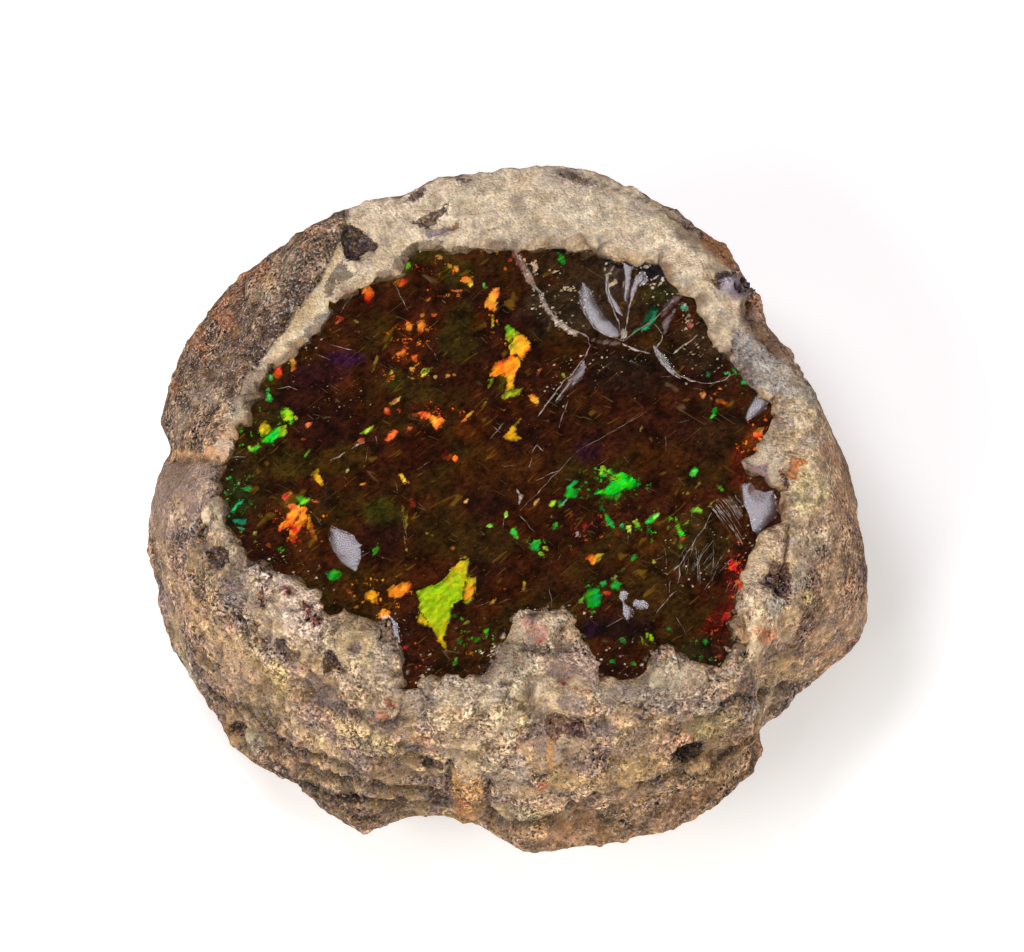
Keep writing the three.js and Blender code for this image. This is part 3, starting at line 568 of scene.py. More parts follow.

# Sharper marks: colour, strength, how far the rock stands up or sinks in, outline in pixels. The
# near-black ones sunk into hollows are painted shade.
PATCHES = [
    # far rock: dark hollow painted as shade, grey wedge, dendrites and the crumbs on the rim
    ("#2a1c20", 0.95, -0.8, [(344, 233), (348, 225), (354, 229), (360, 233), (368, 241), (376, 245),
        (363, 249), (354, 257), (348, 256), (344, 242)]),
    ("#6a5f50", 0.9, -0.3, [(324, 286), (331, 271), (342, 259), (348, 267), (355, 276), (348, 281),
        (336, 281), (331, 291), (326, 298), (323, 305)]),
    ("#34282a", 0.95, -0.15, [(411, 219), (416, 221), (422, 216), (427, 214), (432, 208), (436, 211),
        (441, 207), (445, 204), (450, 199), (447, 208), (445, 213), (438, 216), (438, 223), (431, 226),
        (424, 228), (418, 224), (412, 224)]),
    ("#85757a", 0.85, 0, [(424, 230), (434, 228), (446, 230), (448, 235), (438, 238), (427, 235)]),
    ("#7c5440", 0.9, 0, [(443, 227), (450, 224), (456, 223), (460, 221), (460, 227), (452, 230)]),
    ("#3a3030", 0.9, 0, [(404, 201), (411, 194), (421, 185), (427, 187), (421, 196), (414, 201)]),
    ("#483c3a", 0.9, 0, [(455, 174), (469, 178), (479, 176), (465, 182), (457, 181)]),
    ("#3b3130", 0.85, 0, [(552, 170), (566, 168), (580, 174), (596, 184), (584, 184), (566, 178)]),
    ("#8c8378", 0.85, 0, [(296, 348), (305, 330), (315, 318), (331, 306), (329, 320), (316, 332),
        (306, 346)]),
    # long grey bevel at the far right, and the brown skin beyond it
    ("#a39e94", 0.85, 0, [(736, 337), (753, 332), (770, 351), (792, 371), (811, 393), (826, 410),
        (816, 402), (799, 393), (782, 395), (770, 390), (755, 378), (741, 364)]),
    ("#7d5f4b", 0.8, 0.1, [(750, 318), (772, 320), (795, 368), (775, 356), (758, 337)]),
    # the emptied bead: grey ring, pale boss and the dark hole, painted shade
    ("#82798a", 0.95, 0.35, [(722, 283), (727, 277), (736, 274), (746, 276), (753, 284), (752, 294),
        (746, 302), (736, 301), (727, 293)]),
    ("#2c2226", 0.95, -0.2, [(711, 280), (717, 272), (727, 269), (739, 273), (728, 276), (721, 282),
        (721, 291), (715, 287)]),
    ("#a8a2b0", 0.95, 0.2, [(722, 284), (727, 281), (732, 285), (730, 291), (724, 292)]),
    ("#180c14", 1.0, -0.45, [(734, 284), (737, 280), (742, 279), (747, 281), (749, 287), (747, 293),
        (742, 295), (737, 293), (734, 289)]),
    # right: rust, mauve, cream facets, crumbs and the dark pocket, painted shade
    ("#aa5f2d", 0.9, 0, [(789, 456), (804, 458), (806, 465), (797, 466), (797, 480), (787, 480)]),
    ("#4b2819", 0.9, -0.3, [(780, 470), (789, 475), (787, 492), (782, 485)]),
    ("#82646a", 0.85, 0, [(753, 465), (770, 461), (768, 475), (775, 485), (760, 482), (753, 475)]),
    ("#d7be9b", 0.95, 0.2, [(759, 521), (783, 519), (784, 538), (780, 560), (770, 545)]),
    ("#96645a", 0.85, -0.3, [(783, 521), (787, 533), (787, 557), (781, 560)]),
    ("#dcc09a", 0.85, 0.25, [(738, 574), (758, 545), (767, 548), (770, 570), (758, 584), (770, 590),
        (760, 603), (770, 611), (758, 630), (743, 630), (748, 603)]),
    ("#3c232d", 0.95, -0.9, [(770, 562), (787, 562), (789, 584), (787, 596), (775, 594), (770, 584),
        (758, 582), (763, 574)]),
    ("#bdb7aa", 0.85, 0.1, [(760, 603), (772, 594), (787, 601), (782, 613), (767, 618)]),
    ("#be7855", 0.85, 0, [(758, 628), (775, 628), (775, 638), (763, 645), (755, 635)]),
    ("#dcb991", 0.9, 0.2, [(724, 645), (738, 647), (741, 657), (734, 659)]),
    ("#8c5c4a", 0.7, -0.15, [(821, 657), (845, 647), (860, 637), (862, 641), (846, 652), (822, 661)]),
    # near edge of the opal: tongue, blocks and red streaks
    ("#cd9680", 0.9, 0.3, [(519, 613), (538, 622), (549, 628), (547, 638), (536, 636), (519, 626)]),
    ("#be4623", 0.95, 0, [(532, 631), (545, 635), (544, 640), (536, 638)]),
    ("#786e73", 0.85, 0.2, [(521, 609), (534, 611), (540, 617), (528, 619), (521, 617)]),
    ("#d2bfa2", 0.85, 0.2, [(540, 611), (558, 610), (571, 614), (566, 619), (548, 618)]),
    ("#4c3c30", 0.8, -0.3, [(519, 640), (532, 641), (548, 642), (552, 648), (534, 652), (522, 648)]),
    ("#c3a591", 0.9, 0.6, [(538, 661), (559, 651), (580, 645), (586, 657), (595, 672), (593, 680),
        (582, 680), (566, 674), (555, 672), (545, 667)]),
    ("#963c28", 0.95, -0.15, [(554, 673), (561, 672), (568, 678), (567, 682), (559, 679)]),
    ("#b98c5f", 0.8, 0.1, [(567, 682), (593, 686), (590, 693), (570, 690)]),
    ("#d7af82", 0.9, 0.35, [(643, 653), (654, 647), (674, 645), (676, 651), (668, 655), (653, 661)]),
    # left flank; its near-black sunk patches are painted shade in hollows and crevices
    ("#2a2020", 0.9, -0.2, [(192, 523), (200, 521), (210, 528), (206, 540), (197, 537)]),
    ("#33241f", 0.95, -0.8, [(207, 552), (214, 547), (224, 549), (227, 557), (222, 566), (212, 566)]),
    ("#35292a", 0.9, -0.2, [(259, 562), (268, 560), (279, 566), (278, 577), (268, 574), (260, 570)]),
    ("#46190c", 0.95, -0.4, [(259, 588), (265, 587), (267, 597), (266, 609), (260, 607)]),
    ("#dcc8a4", 0.9, 0.2, [(266, 596), (273, 595), (278, 604), (276, 617), (268, 618)]),
    ("#e6cdb4", 1.0, 0.35, [(277, 572), (292, 568), (304, 582), (321, 599), (326, 614), (321, 634),
        (314, 639), (289, 634), (279, 617), (277, 600)]),
    ("#6a2418", 0.95, -0.25, [(284, 588), (292, 585), (299, 589), (296, 594), (286, 594)]),
    ("#641e14", 0.95, -0.5, [(303, 600), (310, 600), (319, 614), (320, 629), (314, 629), (307, 617)]),
    ("#1e1612", 0.95, -0.5, [(278, 640), (284, 639), (286, 645), (280, 647)]),
    ("#40322e", 0.85, -0.25, [(274, 649), (288, 647), (302, 653), (300, 659), (284, 656)]),
    ("#32201a", 0.95, -0.7, [(330, 649), (336, 654), (341, 664), (349, 674), (336, 679), (326, 674),
        (324, 667)]),
    ("#655a58", 0.95, -0.2, [(350, 644), (357, 641), (364, 646), (363, 653), (355, 655), (350, 651)]),
    ("#6f6462", 0.85, -0.1, [(299, 684), (309, 672), (326, 679), (341, 699), (354, 706), (379, 711),
        (399, 716), (401, 731), (379, 734), (354, 719), (339, 714), (319, 706)]),
    ("#cfb798", 0.7, 0.3, [(329, 676), (350, 669), (380, 672), (404, 680), (402, 704), (380, 704),
        (350, 700), (334, 688)]),
    ("#781e14", 0.95, 0, [(389, 692), (395, 691), (397, 700), (394, 709), (389, 705)]),
    ("#be785a", 0.8, 0, [(376, 711), (384, 709), (389, 716), (382, 721)]),
    ("#d0bc8a", 0.7, 0.3, [(339, 714), (362, 722), (384, 736), (398, 740), (398, 751), (370, 750),
        (348, 738), (336, 726)]),
    ("#55555f", 0.9, -0.15, [(404, 749), (410, 745), (418, 746), (421, 751), (415, 756), (406, 755)]),
    ("#cf9e80", 0.8, 0.1, [(406, 736), (430, 731), (455, 733), (471, 739), (462, 748), (440, 750),
        (416, 744)]),
    ("#2f211a", 0.95, -0.5, [(421, 761), (432, 759), (443, 763), (441, 769), (428, 768)]),
    ("#2f211a", 0.95, -0.5, [(448, 760), (457, 759), (461, 765), (455, 769), (449, 767)]),
    ("#5a4b3c", 0.8, -0.35, [(309, 774), (340, 780), (380, 788), (441, 790), (441, 794), (380, 793),
        (338, 786), (308, 779)]),
    ("#5a4b3c", 0.8, -0.35, [(330, 793), (370, 799), (420, 802), (441, 802), (440, 806), (400, 806),
        (356, 804), (328, 798)]),
    ("#c89a62", 0.85, 0.4, [(453, 768), (462, 764), (478, 768), (484, 782), (483, 805), (474, 823),
        (458, 822), (452, 800)]),
    ("#c87038", 0.8, 0, [(458, 794), (466, 792), (469, 800), (462, 805), (457, 801)]),
    ("#d4c2a4", 0.6, 0.3, [(430, 690), (450, 676), (480, 674), (505, 684), (518, 706), (516, 740),
        (500, 768), (470, 774), (446, 764), (432, 740), (428, 712)]),
    ("#d2d2b8", 0.8, 0, [(177, 649), (186, 655), (198, 680), (214, 704), (206, 704), (190, 684),
        (178, 664)]),
    ("#4a342b", 0.95, -0.8, [(227, 729), (233, 724), (241, 726), (242, 733), (236, 736), (229, 735)]),
    # middle of the flank: red-brown crevices darkened as painted shade, ochre strip and grey-lilac clasts
    ("#857772", 0.8, 0, [(555, 695), (572, 693), (586, 697), (584, 707), (566, 709), (557, 705)]),
    ("#cda582", 0.85, 0, [(588, 703), (597, 699), (596, 714), (590, 714)]),
    ("#462323", 0.85, -0.6, [(547, 718), (563, 716), (580, 720), (584, 735), (570, 735), (565, 730),
        (553, 739), (547, 732)]),
    ("#be8c50", 0.85, 0, [(546, 741), (553, 739), (553, 768), (546, 772)]),
    ("#322819", 0.9, -0.4, [(534, 770), (547, 774), (546, 779), (536, 776)]),
    ("#50323c", 0.85, -0.2, [(524, 778), (536, 781), (538, 789), (526, 789)]),
    ("#c8785a", 0.85, 0, [(538, 778), (547, 783), (544, 791), (538, 789)]),
    ("#827674", 0.85, 0.15, [(590, 722), (614, 720), (622, 732), (612, 735), (597, 733), (588, 730)]),
    ("#5f555a", 0.85, -0.2, [(635, 712), (643, 718), (653, 716), (651, 722), (641, 722), (634, 716)]),
    ("#999089", 0.8, 0.1, [(653, 697), (668, 697), (679, 701), (678, 712), (662, 714), (653, 709)]),
    ("#4a3c34", 0.7, -0.25, [(590, 748), (602, 742), (612, 750), (604, 762), (592, 758)]),
    # right of the flank: the cave and the notch, painted near-black as shade, and the bright lump under
    # the cave
    ("#120c08", 1.0, -1.4, [(671, 753), (681, 745), (691, 741), (702, 745), (702, 751), (695, 758),
        (687, 763), (676, 758)]),
    ("#cfac7c", 0.85, 0.6, [(687, 770), (700, 755), (714, 753), (723, 764), (720, 779), (704, 781),
        (691, 779)]),
    ("#cda082", 0.85, 0.1, [(660, 741), (674, 732), (691, 732), (693, 737), (677, 741), (666, 743)]),
    ("#6e6264", 0.8, -0.15, [(649, 777), (662, 776), (670, 781), (660, 789), (651, 787)]),
    ("#5f5546", 0.8, -0.15, [(597, 808), (612, 806), (620, 816), (612, 829), (601, 823)]),
    ("#8c827e", 0.8, 0, [(739, 705), (764, 697), (762, 712), (754, 720), (739, 722)]),
    ("#3c281e", 0.9, -0.9, [(754, 741), (756, 737), (767, 727), (768, 731), (760, 742)]),
    ("#c29c7c", 0.85, 0.2, [(746, 753), (765, 736), (773, 751), (765, 760), (748, 766)]),
]

# Where the opal shows a little past its plain outline, through gaps in the broken rock
NOTCHES = [
    [(557, 621), (575, 617), (586, 636), (584, 645), (566, 650), (553, 641), (555, 630)],
    [(730, 606), (742, 603), (750, 612), (746, 625), (752, 640), (750, 655), (740, 664), (733, 655),
     (737, 640), (729, 625)],
    [(378, 606), (392, 608), (401, 620), (405, 645), (399, 654), (388, 640), (380, 625)],
]

# Cracks and crevices in the rock: corners, half width and depth in millimetres; each is also darkened
# with painted shade
CREVICES = [
    ([(401, 690), (402, 704), (400, 716), (402, 728)], 0.22, 0.5),
    ([(348, 214), (345, 224), (344, 234)], 0.18, 0.3),
    ([(449, 762), (448, 780), (450, 796)], 0.3, 0.5),
    ([(486, 782), (487, 800), (486, 827)], 0.25, 0.6),
    ([(486, 812), (505, 827), (519, 827), (538, 825), (553, 820), (566, 814), (572, 804)], 0.3, 0.9),
    ([(340, 702), (360, 716), (382, 722), (400, 722)], 0.3, 0.3),
    ([(595, 722), (614, 724)], 0.15, 0.2),
    ([(720, 702), (738, 698), (754, 697), (769, 690), (790, 686)], 0.22, 0.5),
    ([(370, 756), (392, 760), (420, 758), (446, 766)], 0.3, 0.35),
    ([(166, 457), (190, 459), (222, 461)], 0.3, 0.4),
    ([(345, 206), (343, 224), (334, 250), (318, 280), (290, 318)], 0.2, 0.25),
    ([(752, 300), (750, 316), (756, 334), (770, 350)], 0.25, 0.5),
    ([(556, 168), (580, 172), (602, 184), (640, 196), (668, 212), (690, 226)], 0.15, 0.1),
    ([(733, 330), (737, 345), (744, 358)], 0.16, 0.25),
    ([(785, 520), (787, 540), (786, 562), (788, 592)], 0.22, 0.5),
    ([(300, 768), (350, 782), (400, 790), (440, 793)], 0.35, 0.7),
    ([(290, 782), (340, 800), (390, 806), (446, 808)], 0.3, 0.5),
    ([(230, 700), (262, 732), (310, 756), (360, 770)], 0.35, 0.4),
    ([(580, 800), (640, 788), (700, 770), (750, 740)], 0.35, 0.5),
    ([(274, 655), (262, 640), (256, 624)], 0.2, 0.3), ([(232, 600), (244, 616), (250, 640)], 0.2, 0.3),
    ([(618, 700), (640, 706), (652, 716)], 0.16, 0.25), ([(500, 690), (516, 700), (528, 716)], 0.2, 0.3),
]

# Round hollows and lumps: place, half width and half height in pixels, turn, rise in millimetres
ROUNDS = [
    ((688, 752), 14, 9, -12, -0.5), ((731, 351), 5, 5, 0, -0.4),
    ((356, 640), 26, 23, 0, 0.7), ((541, 622), 16, 10, 0, 0.4), ((660, 662), 17, 16, 0, 0.4),
    ((520, 655), 20, 16, 0, 0.4), ((470, 720), 34, 30, 0, 0.3), ((236, 594), 12, 12, 0, 0.3),
    ((604, 727), 16, 8, 0, 0.2), ((757, 600), 18, 12, 0, 0.2),
]


def ellipse_share(pixels, place, half_width, half_height, turn):
    """Distance from an ellipse's middle as a share of its size, so 1 at its edge."""
    turn = math.radians(turn)
    aside = pixels - np.array(place, float)
    u = aside[:, 0] * math.cos(turn) + aside[:, 1] * math.sin(turn)
    v = -aside[:, 0] * math.sin(turn) + aside[:, 1] * math.cos(turn)
    return np.hypot(u / half_width, v / half_height)


def edge_gap(pixels, outline):
    """How many pixels inside an outline places lie, negative outside it and -99 well away."""
    low, high = np.min(outline, axis=0) - 14, np.max(outline, axis=0) + 14
    near = np.all((pixels > low) & (pixels < high), axis=1)
    away = distance_to_line(pixels[near], outline + outline[:1])
    gap = np.full(len(pixels), -99.0)
    gap[near] = np.where(inside(pixels[near], outline), away, -away)
    return gap


def patch_share(pixels, outline, fray):
    """1 inside an outline in pixels and 0 outside, where fray moves the edge point by point."""
    return smooth(edge_gap(pixels, outline) + fray, -1.2, 1.2)


def mixed(palette, first, second):
    """Four stone colours mixed by two noise fields, mostly one of them at any point."""
    a, b, c, d = (np.array(linear(code)) for code in palette)
    u, v = smooth(first, -0.25, 0.25)[:, None], smooth(second, -0.25, 0.25)[:, None]
    return (a * (1 - u) + b * u) * (1 - v) + (c * (1 - u) + d * u) * v


def remeshed(node, name, voxel, rounds):
    """A finer skin over a CAD node, with its facets softened."""
    mesh = node.data.copy()
    bm = bmesh.new()
    bm.from_mesh(mesh)
    bmesh.ops.remove_doubles(bm, verts=bm.verts, dist=1e-6)
    bm.to_mesh(mesh)
    bm.free()
    rough = new_object(name + "_source", mesh)
    remesh = rough.modifiers.new("finer", "REMESH")
    remesh.mode = "VOXEL"
    remesh.voxel_size = voxel * MM
    soften = rough.modifiers.new("soften", "SMOOTH")
    soften.factor = 0.5
    soften.iterations = rounds
    bpy.context.view_layer.update()
    fine = bpy.data.meshes.new_from_object(rough.evaluated_get(bpy.context.evaluated_depsgraph_get()))
    bpy.data.objects.remove(rough)
    fine.materials.clear()
    fine.name = name
    return fine


def rows_of(values, name):
    """Rows of three numbers read from a mesh's vertices or normals."""
    flat = np.empty(len(values) * 3)
    values.foreach_get(name, flat)
    return flat.reshape(-1, 3)


def clods(points, size, seed=0.0):
    """How near each point lies to the middle of its clod: 1 in the middle, about 0 between clods."""
    shifted = points / size + seed
    return np.array([1 - noise.voronoi(p)[0][0] for p in shifted.tolist()])


def pocket_depth(points):
    """How far points lie under the split face inside the opal's pocket; 0 outside it."""
    within = inside(points[:, :2], OPAL_EDGE_GROWN)
    return np.where(within, SPLIT_HEIGHT - points[:, 2], 0)


def grown(outline, gap):
    """An anticlockwise outline moved outwards by a gap."""
    moved = []
    for i, here in enumerate(outline):
        ahead = outline[(i + 1) % len(outline)]
        here, before, after = (Vector(p) for p in (here, outline[i - 1], ahead))
        edge_in, edge_out = (here - before).normalized(), (after - here).normalized()
        outward = Vector((edge_in.y + edge_out.y, -edge_in.x - edge_out.x)).normalized()
        square = Vector((edge_in.y, -edge_in.x))
        moved.append(tuple(here + outward * gap / max(0.5, outward.dot(square))))
    return moved


OPAL_EDGE_GROWN = grown(OPAL_EDGE, 1.2)


def make_rock(stone):
    mesh = remeshed(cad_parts["host_rock"], "rhyolite_nodule", ROCK_VOXEL, 1)
    points, normals = rows_of(mesh.vertices, "co") / MM, rows_of(mesh.vertex_normals, "vector")
    pixels = pixel_of(points)
    seen = smooth(normals @ TOWARD_CAMERA, 0.02, 0.25)
    broad, middle = noise_field(points, 9), noise_field(points, 3.4, 5.3)
    small, tiny = noise_field(points, 1.3, 11.7), noise_field(points, 0.72, 23.1)
    other, odd = noise_field(points, 5.2, 37.9), noise_field(points, 1.1, 51.3)
    lumps, crumbs = clods(points, 2.6, 3.3), clods(points, 1.15, 7.9)
    depth = pocket_depth(points)
    wall = (depth > 0.9) & (normals[:, 2] > -0.6)
    rags = np.stack([small + 0.5 * tiny, odd], 1)
    fray = 5 * small + 4 * tiny

    def zone(outline, raggedness=7):
        return inside(pixels + raggedness * rags, outline) & (seen > 0.1) & ~wall

    # colours
    rim_gap = distance_to_line(points[:, :2], OPAL_EDGE + OPAL_EDGE[:1])
    on_face = (points[:, 2] > 25.4) & ((normals[:, 2] > 0.5) | (rim_gap < 1.8)) & ~wall
    colours = mixed(SKIN, middle + 0.4 * small, other + 0.3 * tiny)
    pepper, speckle = np.full(len(points), 0.5), np.full(len(points), 0.35)
    mottle = np.full(len(points), 0.8)
    grit = np.full(len(points), 0.9)
    zones = [
        (zone(LEFT_SKIN), PALE_SKIN, 0.4, 0.4, 1.3, 0.65), (zone(RIGHT_SKIN), SKIN, 0.5, 0.6, 2.6, 1.1),
        (zone(FLANK), MATRIX, 0.58, 0.45, 1.7, 0.9), (zone(FAR_RIGHT_SKIN), LOBE, 0.7, 0.4, 1.6, 1),
        (on_face, FRESH, 0.26, 0.2, 0.85, 0.32), (zone(RIGHT_ROCK), ROCK, 0.4, 0.38, 1.6, 0.72),
        (on_face & (pixels[:, 1] > 528), NEAR_RIM, 0.46, 0.45, 1, 0.9),
        (zone(SHELF_SKIN), SHELF, 0.5, 0.5, 1.2, 1), (zone(CREAM_EDGE, 2.5), CREAM, 0.15, 0.2, 0.5, 0.3),
        (zone(LEFT_LOBE), LOBE, 0.5, 0.4, 0.9, 0.8), (zone(GREY_BEVEL), GREY, 0.5, 0.3, 0.5, 0.6),
    ]
    for chosen, palette, dark_grains, pale_grains, strength, sandy in zones:
        colours[chosen] = mixed(palette, middle + 0.6 * small, other + 0.5 * tiny)[chosen]
        pepper[chosen], speckle[chosen] = dark_grains, pale_grains
        mottle[chosen], grit[chosen] = strength, sandy
    bevel = zone(BEVEL_SKIN, 2.5)
    pepper[bevel], speckle[bevel], mottle[bevel], grit[bevel] = 0.62, 0.68, 2.4, 1.25
    rough = np.clip(1 + 1.3 * middle + 0.9 * odd, 0.35, 1.7)
    grit *= np.where(on_face & (pixels[:, 1] < 528), 1, rough)
    bright = 1 + mottle * (0.42 * small + 0.4 * tiny + 0.3 * odd)
    # two layers of colour: the ground, and the patches that end in a sharp line on it
    colours = np.stack([colours, mixed(BEVEL, middle + 0.6 * small, other + 0.5 * tiny)])
    colours *= np.clip(bright, 0.4, 1.7)[:, None]
    inward = edge_gap(pixels, BEVEL_SKIN)
    relief, carved = 0.18 * middle + 0.16 * small + 0.12 * tiny - 0.14, np.zeros(len(points))
    for place, half_width, half_height, turn, code, strength in MARKS:
        away = ellipse_share(pixels, place, half_width, half_height, turn)
        share = smooth(1.15 + 0.6 * small + 0.45 * tiny - away, 0, 0.3) * strength * seen
        share = np.where(wall, 0, share)[:, None]
        tint = np.array(linear(code)) * np.clip(0.5 + 0.5 * bright, 0.5, 1.5)[:, None]
        colours = colours * (1 - share) + tint * share
    for code, strength, rise, outline in PATCHES:
        share = patch_share(pixels, outline, fray) * seen
        carved += rise * share
        if sum(linear(code)) < 0.2:
            grit = grit + 0.8 * share
            speckle = speckle * (1 - 0.5 * share)
        tint = np.array(linear(code)) * np.clip(0.3 + 0.7 * bright, 0.5, 1.5)[:, None]
        colours[1] += (tint - colours[1]) * (strength * share)[:, None]
        inner = edge_gap(pixels, outline) + (2.5 if rise < -0.45 else 0)
        own = (inner > inward) & (inner > -12)
        colours[1, own] = (colours[0] + (tint - colours[0]) * strength)[own]
        inward[own] = inner[own]
    inward[wall | (seen < 0.1)] = -99

    # dark, rusty crust where the rock meets the opal
    crust = smooth(0.45 + 0.7 * small + 0.9 * tiny - rim_gap, 0, 0.25) * (points[:, 2] > 25) * ~wall
    crust_colour = mixed(["#6b4528", "#2e1c14", "#8a6440", "#3c281c"], small, odd)
    colours += (crust_colour - colours) * 0.75 * crust[:, None]

    # painted light: the sides, turned away from the cool soft box above, are tinted warmer and lose some
    # blue
    colours *= 1 + (1 - smooth(normals[:, 2], 0.5, 0.95))[:, None] * np.array([0.04, -0.04, -0.15])

    # relief
    flank = zone(FLANK).astype(float)
    fresh = on_face.astype(float)
    full_on = 0.4 + 0.6 * smooth(normals @ TOWARD_CAMERA, 0.1, 0.5)
    relief += flank * full_on * (
        0.3 * middle + 0.55 * (lumps - 0.5) + 0.6 * (crumbs - 0.5) + 0.3 * tiny)
    relief += zone(FAR_RIGHT_SKIN) * (0.3 * small + 0.4 * (crumbs - 0.5))
    relief += bevel * (0.2 * small + 0.15 * odd + 0.2 * (crumbs - 0.5))
    relief += fresh * (0.12 * small + 0.16 * tiny + 0.15 * (crumbs - 0.5))
    relief += 0.4 * crust * odd
    # painted shade: the flank darkens in the gaps between its clods, towards its foot, at both ends and a
    # little in a band left of its middle
    gap_shade = np.maximum(smooth(0.42 - lumps, 0, 0.15), 0.7 * smooth(0.4 - crumbs, 0, 0.15))
    flank_shade = 0.14 * smooth(22 - points[:, 2], 0, 8) + 0.12 * smooth(360 - pixels[:, 0], 0, 80)
    flank_shade += 0.18 * smooth(pixels[:, 0] - 600, 0, 60)
    flank_shade += 0.08 * smooth(90 - np.abs(pixels[:, 0] - 420), 0, 50)
    colours *= 1 - (flank * (0.5 * gap_shade + flank_shade))[:, None]
    layers = points[:, 2] + 0.06 * points[:, 0] + 0.7 * broad + 0.3 * middle
    bands = np.abs((layers / 2.3) % 1 - 0.5) * 2
    near_left = smooth(-points[:, 1], 8, 18) * smooth(-points[:, 0], -4, 6)
    near_left *= smooth(17 - points[:, 2], 0, 4)
    relief -= 0.7 * near_left * smooth(bands, 0.66, 1.0)
    # painted shade: the near left darkens a little, most in the grooves between its ledges
    colours *= 1 - (near_left * (0.1 + 0.3 * smooth(bands, 0.6, 1.0)))[:, None]
    for line, half_width, how_deep in CREVICES:
        away = distance_to_line(pixels, line) / PX_PER_MM + 0.12 * small
        cut = np.exp(-(away / half_width) ** 2) * seen
        carved -= how_deep * cut
        # painted shade darkens each crevice
        colours *= 1 - 0.8 * (cut * ~wall)[:, None]
    for place, half_width, half_height, turn, rise in ROUNDS:
        away = ellipse_share(pixels, place, half_width, half_height, turn) + 0.22 * small
        carved += rise * smooth(1.15 - away, 0, 0.4) * seen
    at_rim = smooth(1.8 - rim_gap, 0, 0.6) * (points[:, 2] > 23)
    for outline in NOTCHES:
        carved -= 1.1 * patch_share(pixels, outline, fray) * seen
    relief = np.where(at_rim * fresh > 0, np.maximum(relief, -0.12), relief) + carved
    relief[wall] = 0.1 * small[wall]
    relief += 0.42 * at_rim * (1 - smooth(normals[:, 2], 0.2, 0.9))
    relief = np.where(points[:, 2] < 0.5, np.minimum(relief, 0), relief)
    sideways = np.stack([odd, noise_field(points, 1.1, 77.7), 0 * odd], 1)
    broader = np.stack([noise_field(points, 2.4, 15.1), noise_field(points, 2.4, 64.3), 0 * odd], 1)
    moved = points + normals * relief[:, None] + (0.7 * sideways + 0.5 * broader) * at_rim[:, None]
    low, high = (np.array(corner) / MM for corner in cad_box)
    moved = np.clip(moved, low, high)

    # the pocket's wall, seen through the opal: rusty near the face, and painted near-black shade further
    # down
    pocket_shade = mixed(["#2a1206", "#241a06", "#2c0e06", "#1c120a"], middle, other)
    rust = mixed(["#a08462", "#2a1a10", "#5c3a20", "#20130c"], small + tiny, odd + tiny)
    shade_below = smooth(depth, 1.0, 2.6)[:, None]
    colours[:, wall] = (rust * (1 - shade_below) + pocket_shade * shade_below)[wall]
    parts = np.stack([np.where(wall, 0, pepper), np.where(wall, 0, speckle), wall, grit], 1)

    mesh.vertices.foreach_set("co", (moved * MM).ravel())
    mesh.update()
    paint(mesh, "stone_tone", colours[0])
    paint(mesh, "stone_patch", np.column_stack([colours[1], np.clip(0.5 + inward / 24, 0, 1)]))
    paint(mesh, "stone_parts", parts)
    mesh.shade_smooth()
    mesh.materials.append(stone)
    settle(new_object("rhyolite_nodule", mesh), "rhyolite", "host_rock")


# The opal

# Shell-shaped breaks: middle and radius of the print in pixels, and its slope at the edge in degrees
SHELLS = [
    ((605, 268), 75, 14), ((668, 297), 51, 13), ((703, 322), 61, 14),
    ((771, 392), 42, 12), ((765, 500), 40, 10),
]

# Small flat breaks that mirror the soft box, as outlines
GLINTS = [
    [(331, 526), (341, 530), (354, 536), (361, 543), (363, 556), (357, 570), (345, 563), (336, 551),
        (330, 538)],
    [(742, 411), (746, 401), (755, 392), (763, 390), (768, 396), (766, 405), (746, 419)],
    [(738, 478), (750, 477), (755, 484), (763, 487), (773, 486), (777, 510), (764, 521), (755, 533),
        (747, 528), (741, 514), (739, 494)],
    [(381, 613), (392, 616), (398, 622), (402, 641), (396, 643), (388, 630)],
    [(583, 279), (589, 283), (594, 296), (604, 311), (615, 322), (621, 329), (620, 335), (611, 336),
        (600, 331), (589, 318), (581, 305), (579, 290)],
    [(606, 274), (609, 279), (611, 290), (618, 300), (623, 307), (622, 313), (615, 307), (609, 298),
        (605, 287)],
    [(622, 255), (639, 254), (632, 268), (630, 282), (626, 300), (623, 290), (625, 272)],
    [(636, 272), (643, 268), (648, 274), (647, 281), (639, 283), (634, 291), (630, 304), (626, 327),
        (626, 312), (631, 284)],
    [(654, 344), (661, 350), (668, 361), (677, 372), (684, 378), (676, 376), (667, 370), (659, 361),
        (654, 351)],
    [(726, 634), (736, 620), (748, 608), (743, 623), (734, 633)],
    [(738, 652), (743, 645), (753, 637), (748, 647), (741, 654)],
    [(619, 590), (626, 590), (627, 597), (621, 601), (618, 596)],
    [(622, 601), (631, 607), (632, 615), (626, 619), (621, 612)],
    [(633, 598), (645, 600), (647, 607), (638, 609), (631, 604)],
]
SOFT_BOX = (-0.286, 0.121, 0.95)
GLINT_NORMAL = (Vector(SOFT_BOX) + Vector(TOWARD_CAMERA)).normalized()


def shell_balls():
    """The shells as balls: middle of the print, radius of the ball and height of its lowest point."""
    balls = []
    for place, reach, slope in SHELLS:
        reach, slope = reach / PX_PER_MM, math.radians(slope)
        radius = reach / math.sin(slope)
        balls.append((spot(place), reach, radius, OPAL_FACE - radius * (1 - math.cos(slope))))
    return balls


BALLS = shell_balls()


def opal_height(x, y):
    """Height of the broken opal face at a place, all but flat outside its shells and chips."""
    height = OPAL_FACE + 0.08 * flat_noise(x, y, 15, 3.1) + 0.015 * flat_noise(x, y, 4, 8.7)
    height -= 1.1 * float(smooth(np.array(x), 17, 25)) ** 2
    for (cx, cy), reach, radius, lowest in BALLS:
        aside = math.hypot(x - cx, y - cy) + 0.25 * flat_noise(x, y, 2.2, 6.6)
        if aside < reach:
            ball = lowest + radius - math.sqrt(radius ** 2 - aside ** 2)
            rings = 0.008 * math.sin(aside * 6) * (1 + flat_noise(x, y, 2, 5.5))
            height = min(height, ball + rings)
    return height


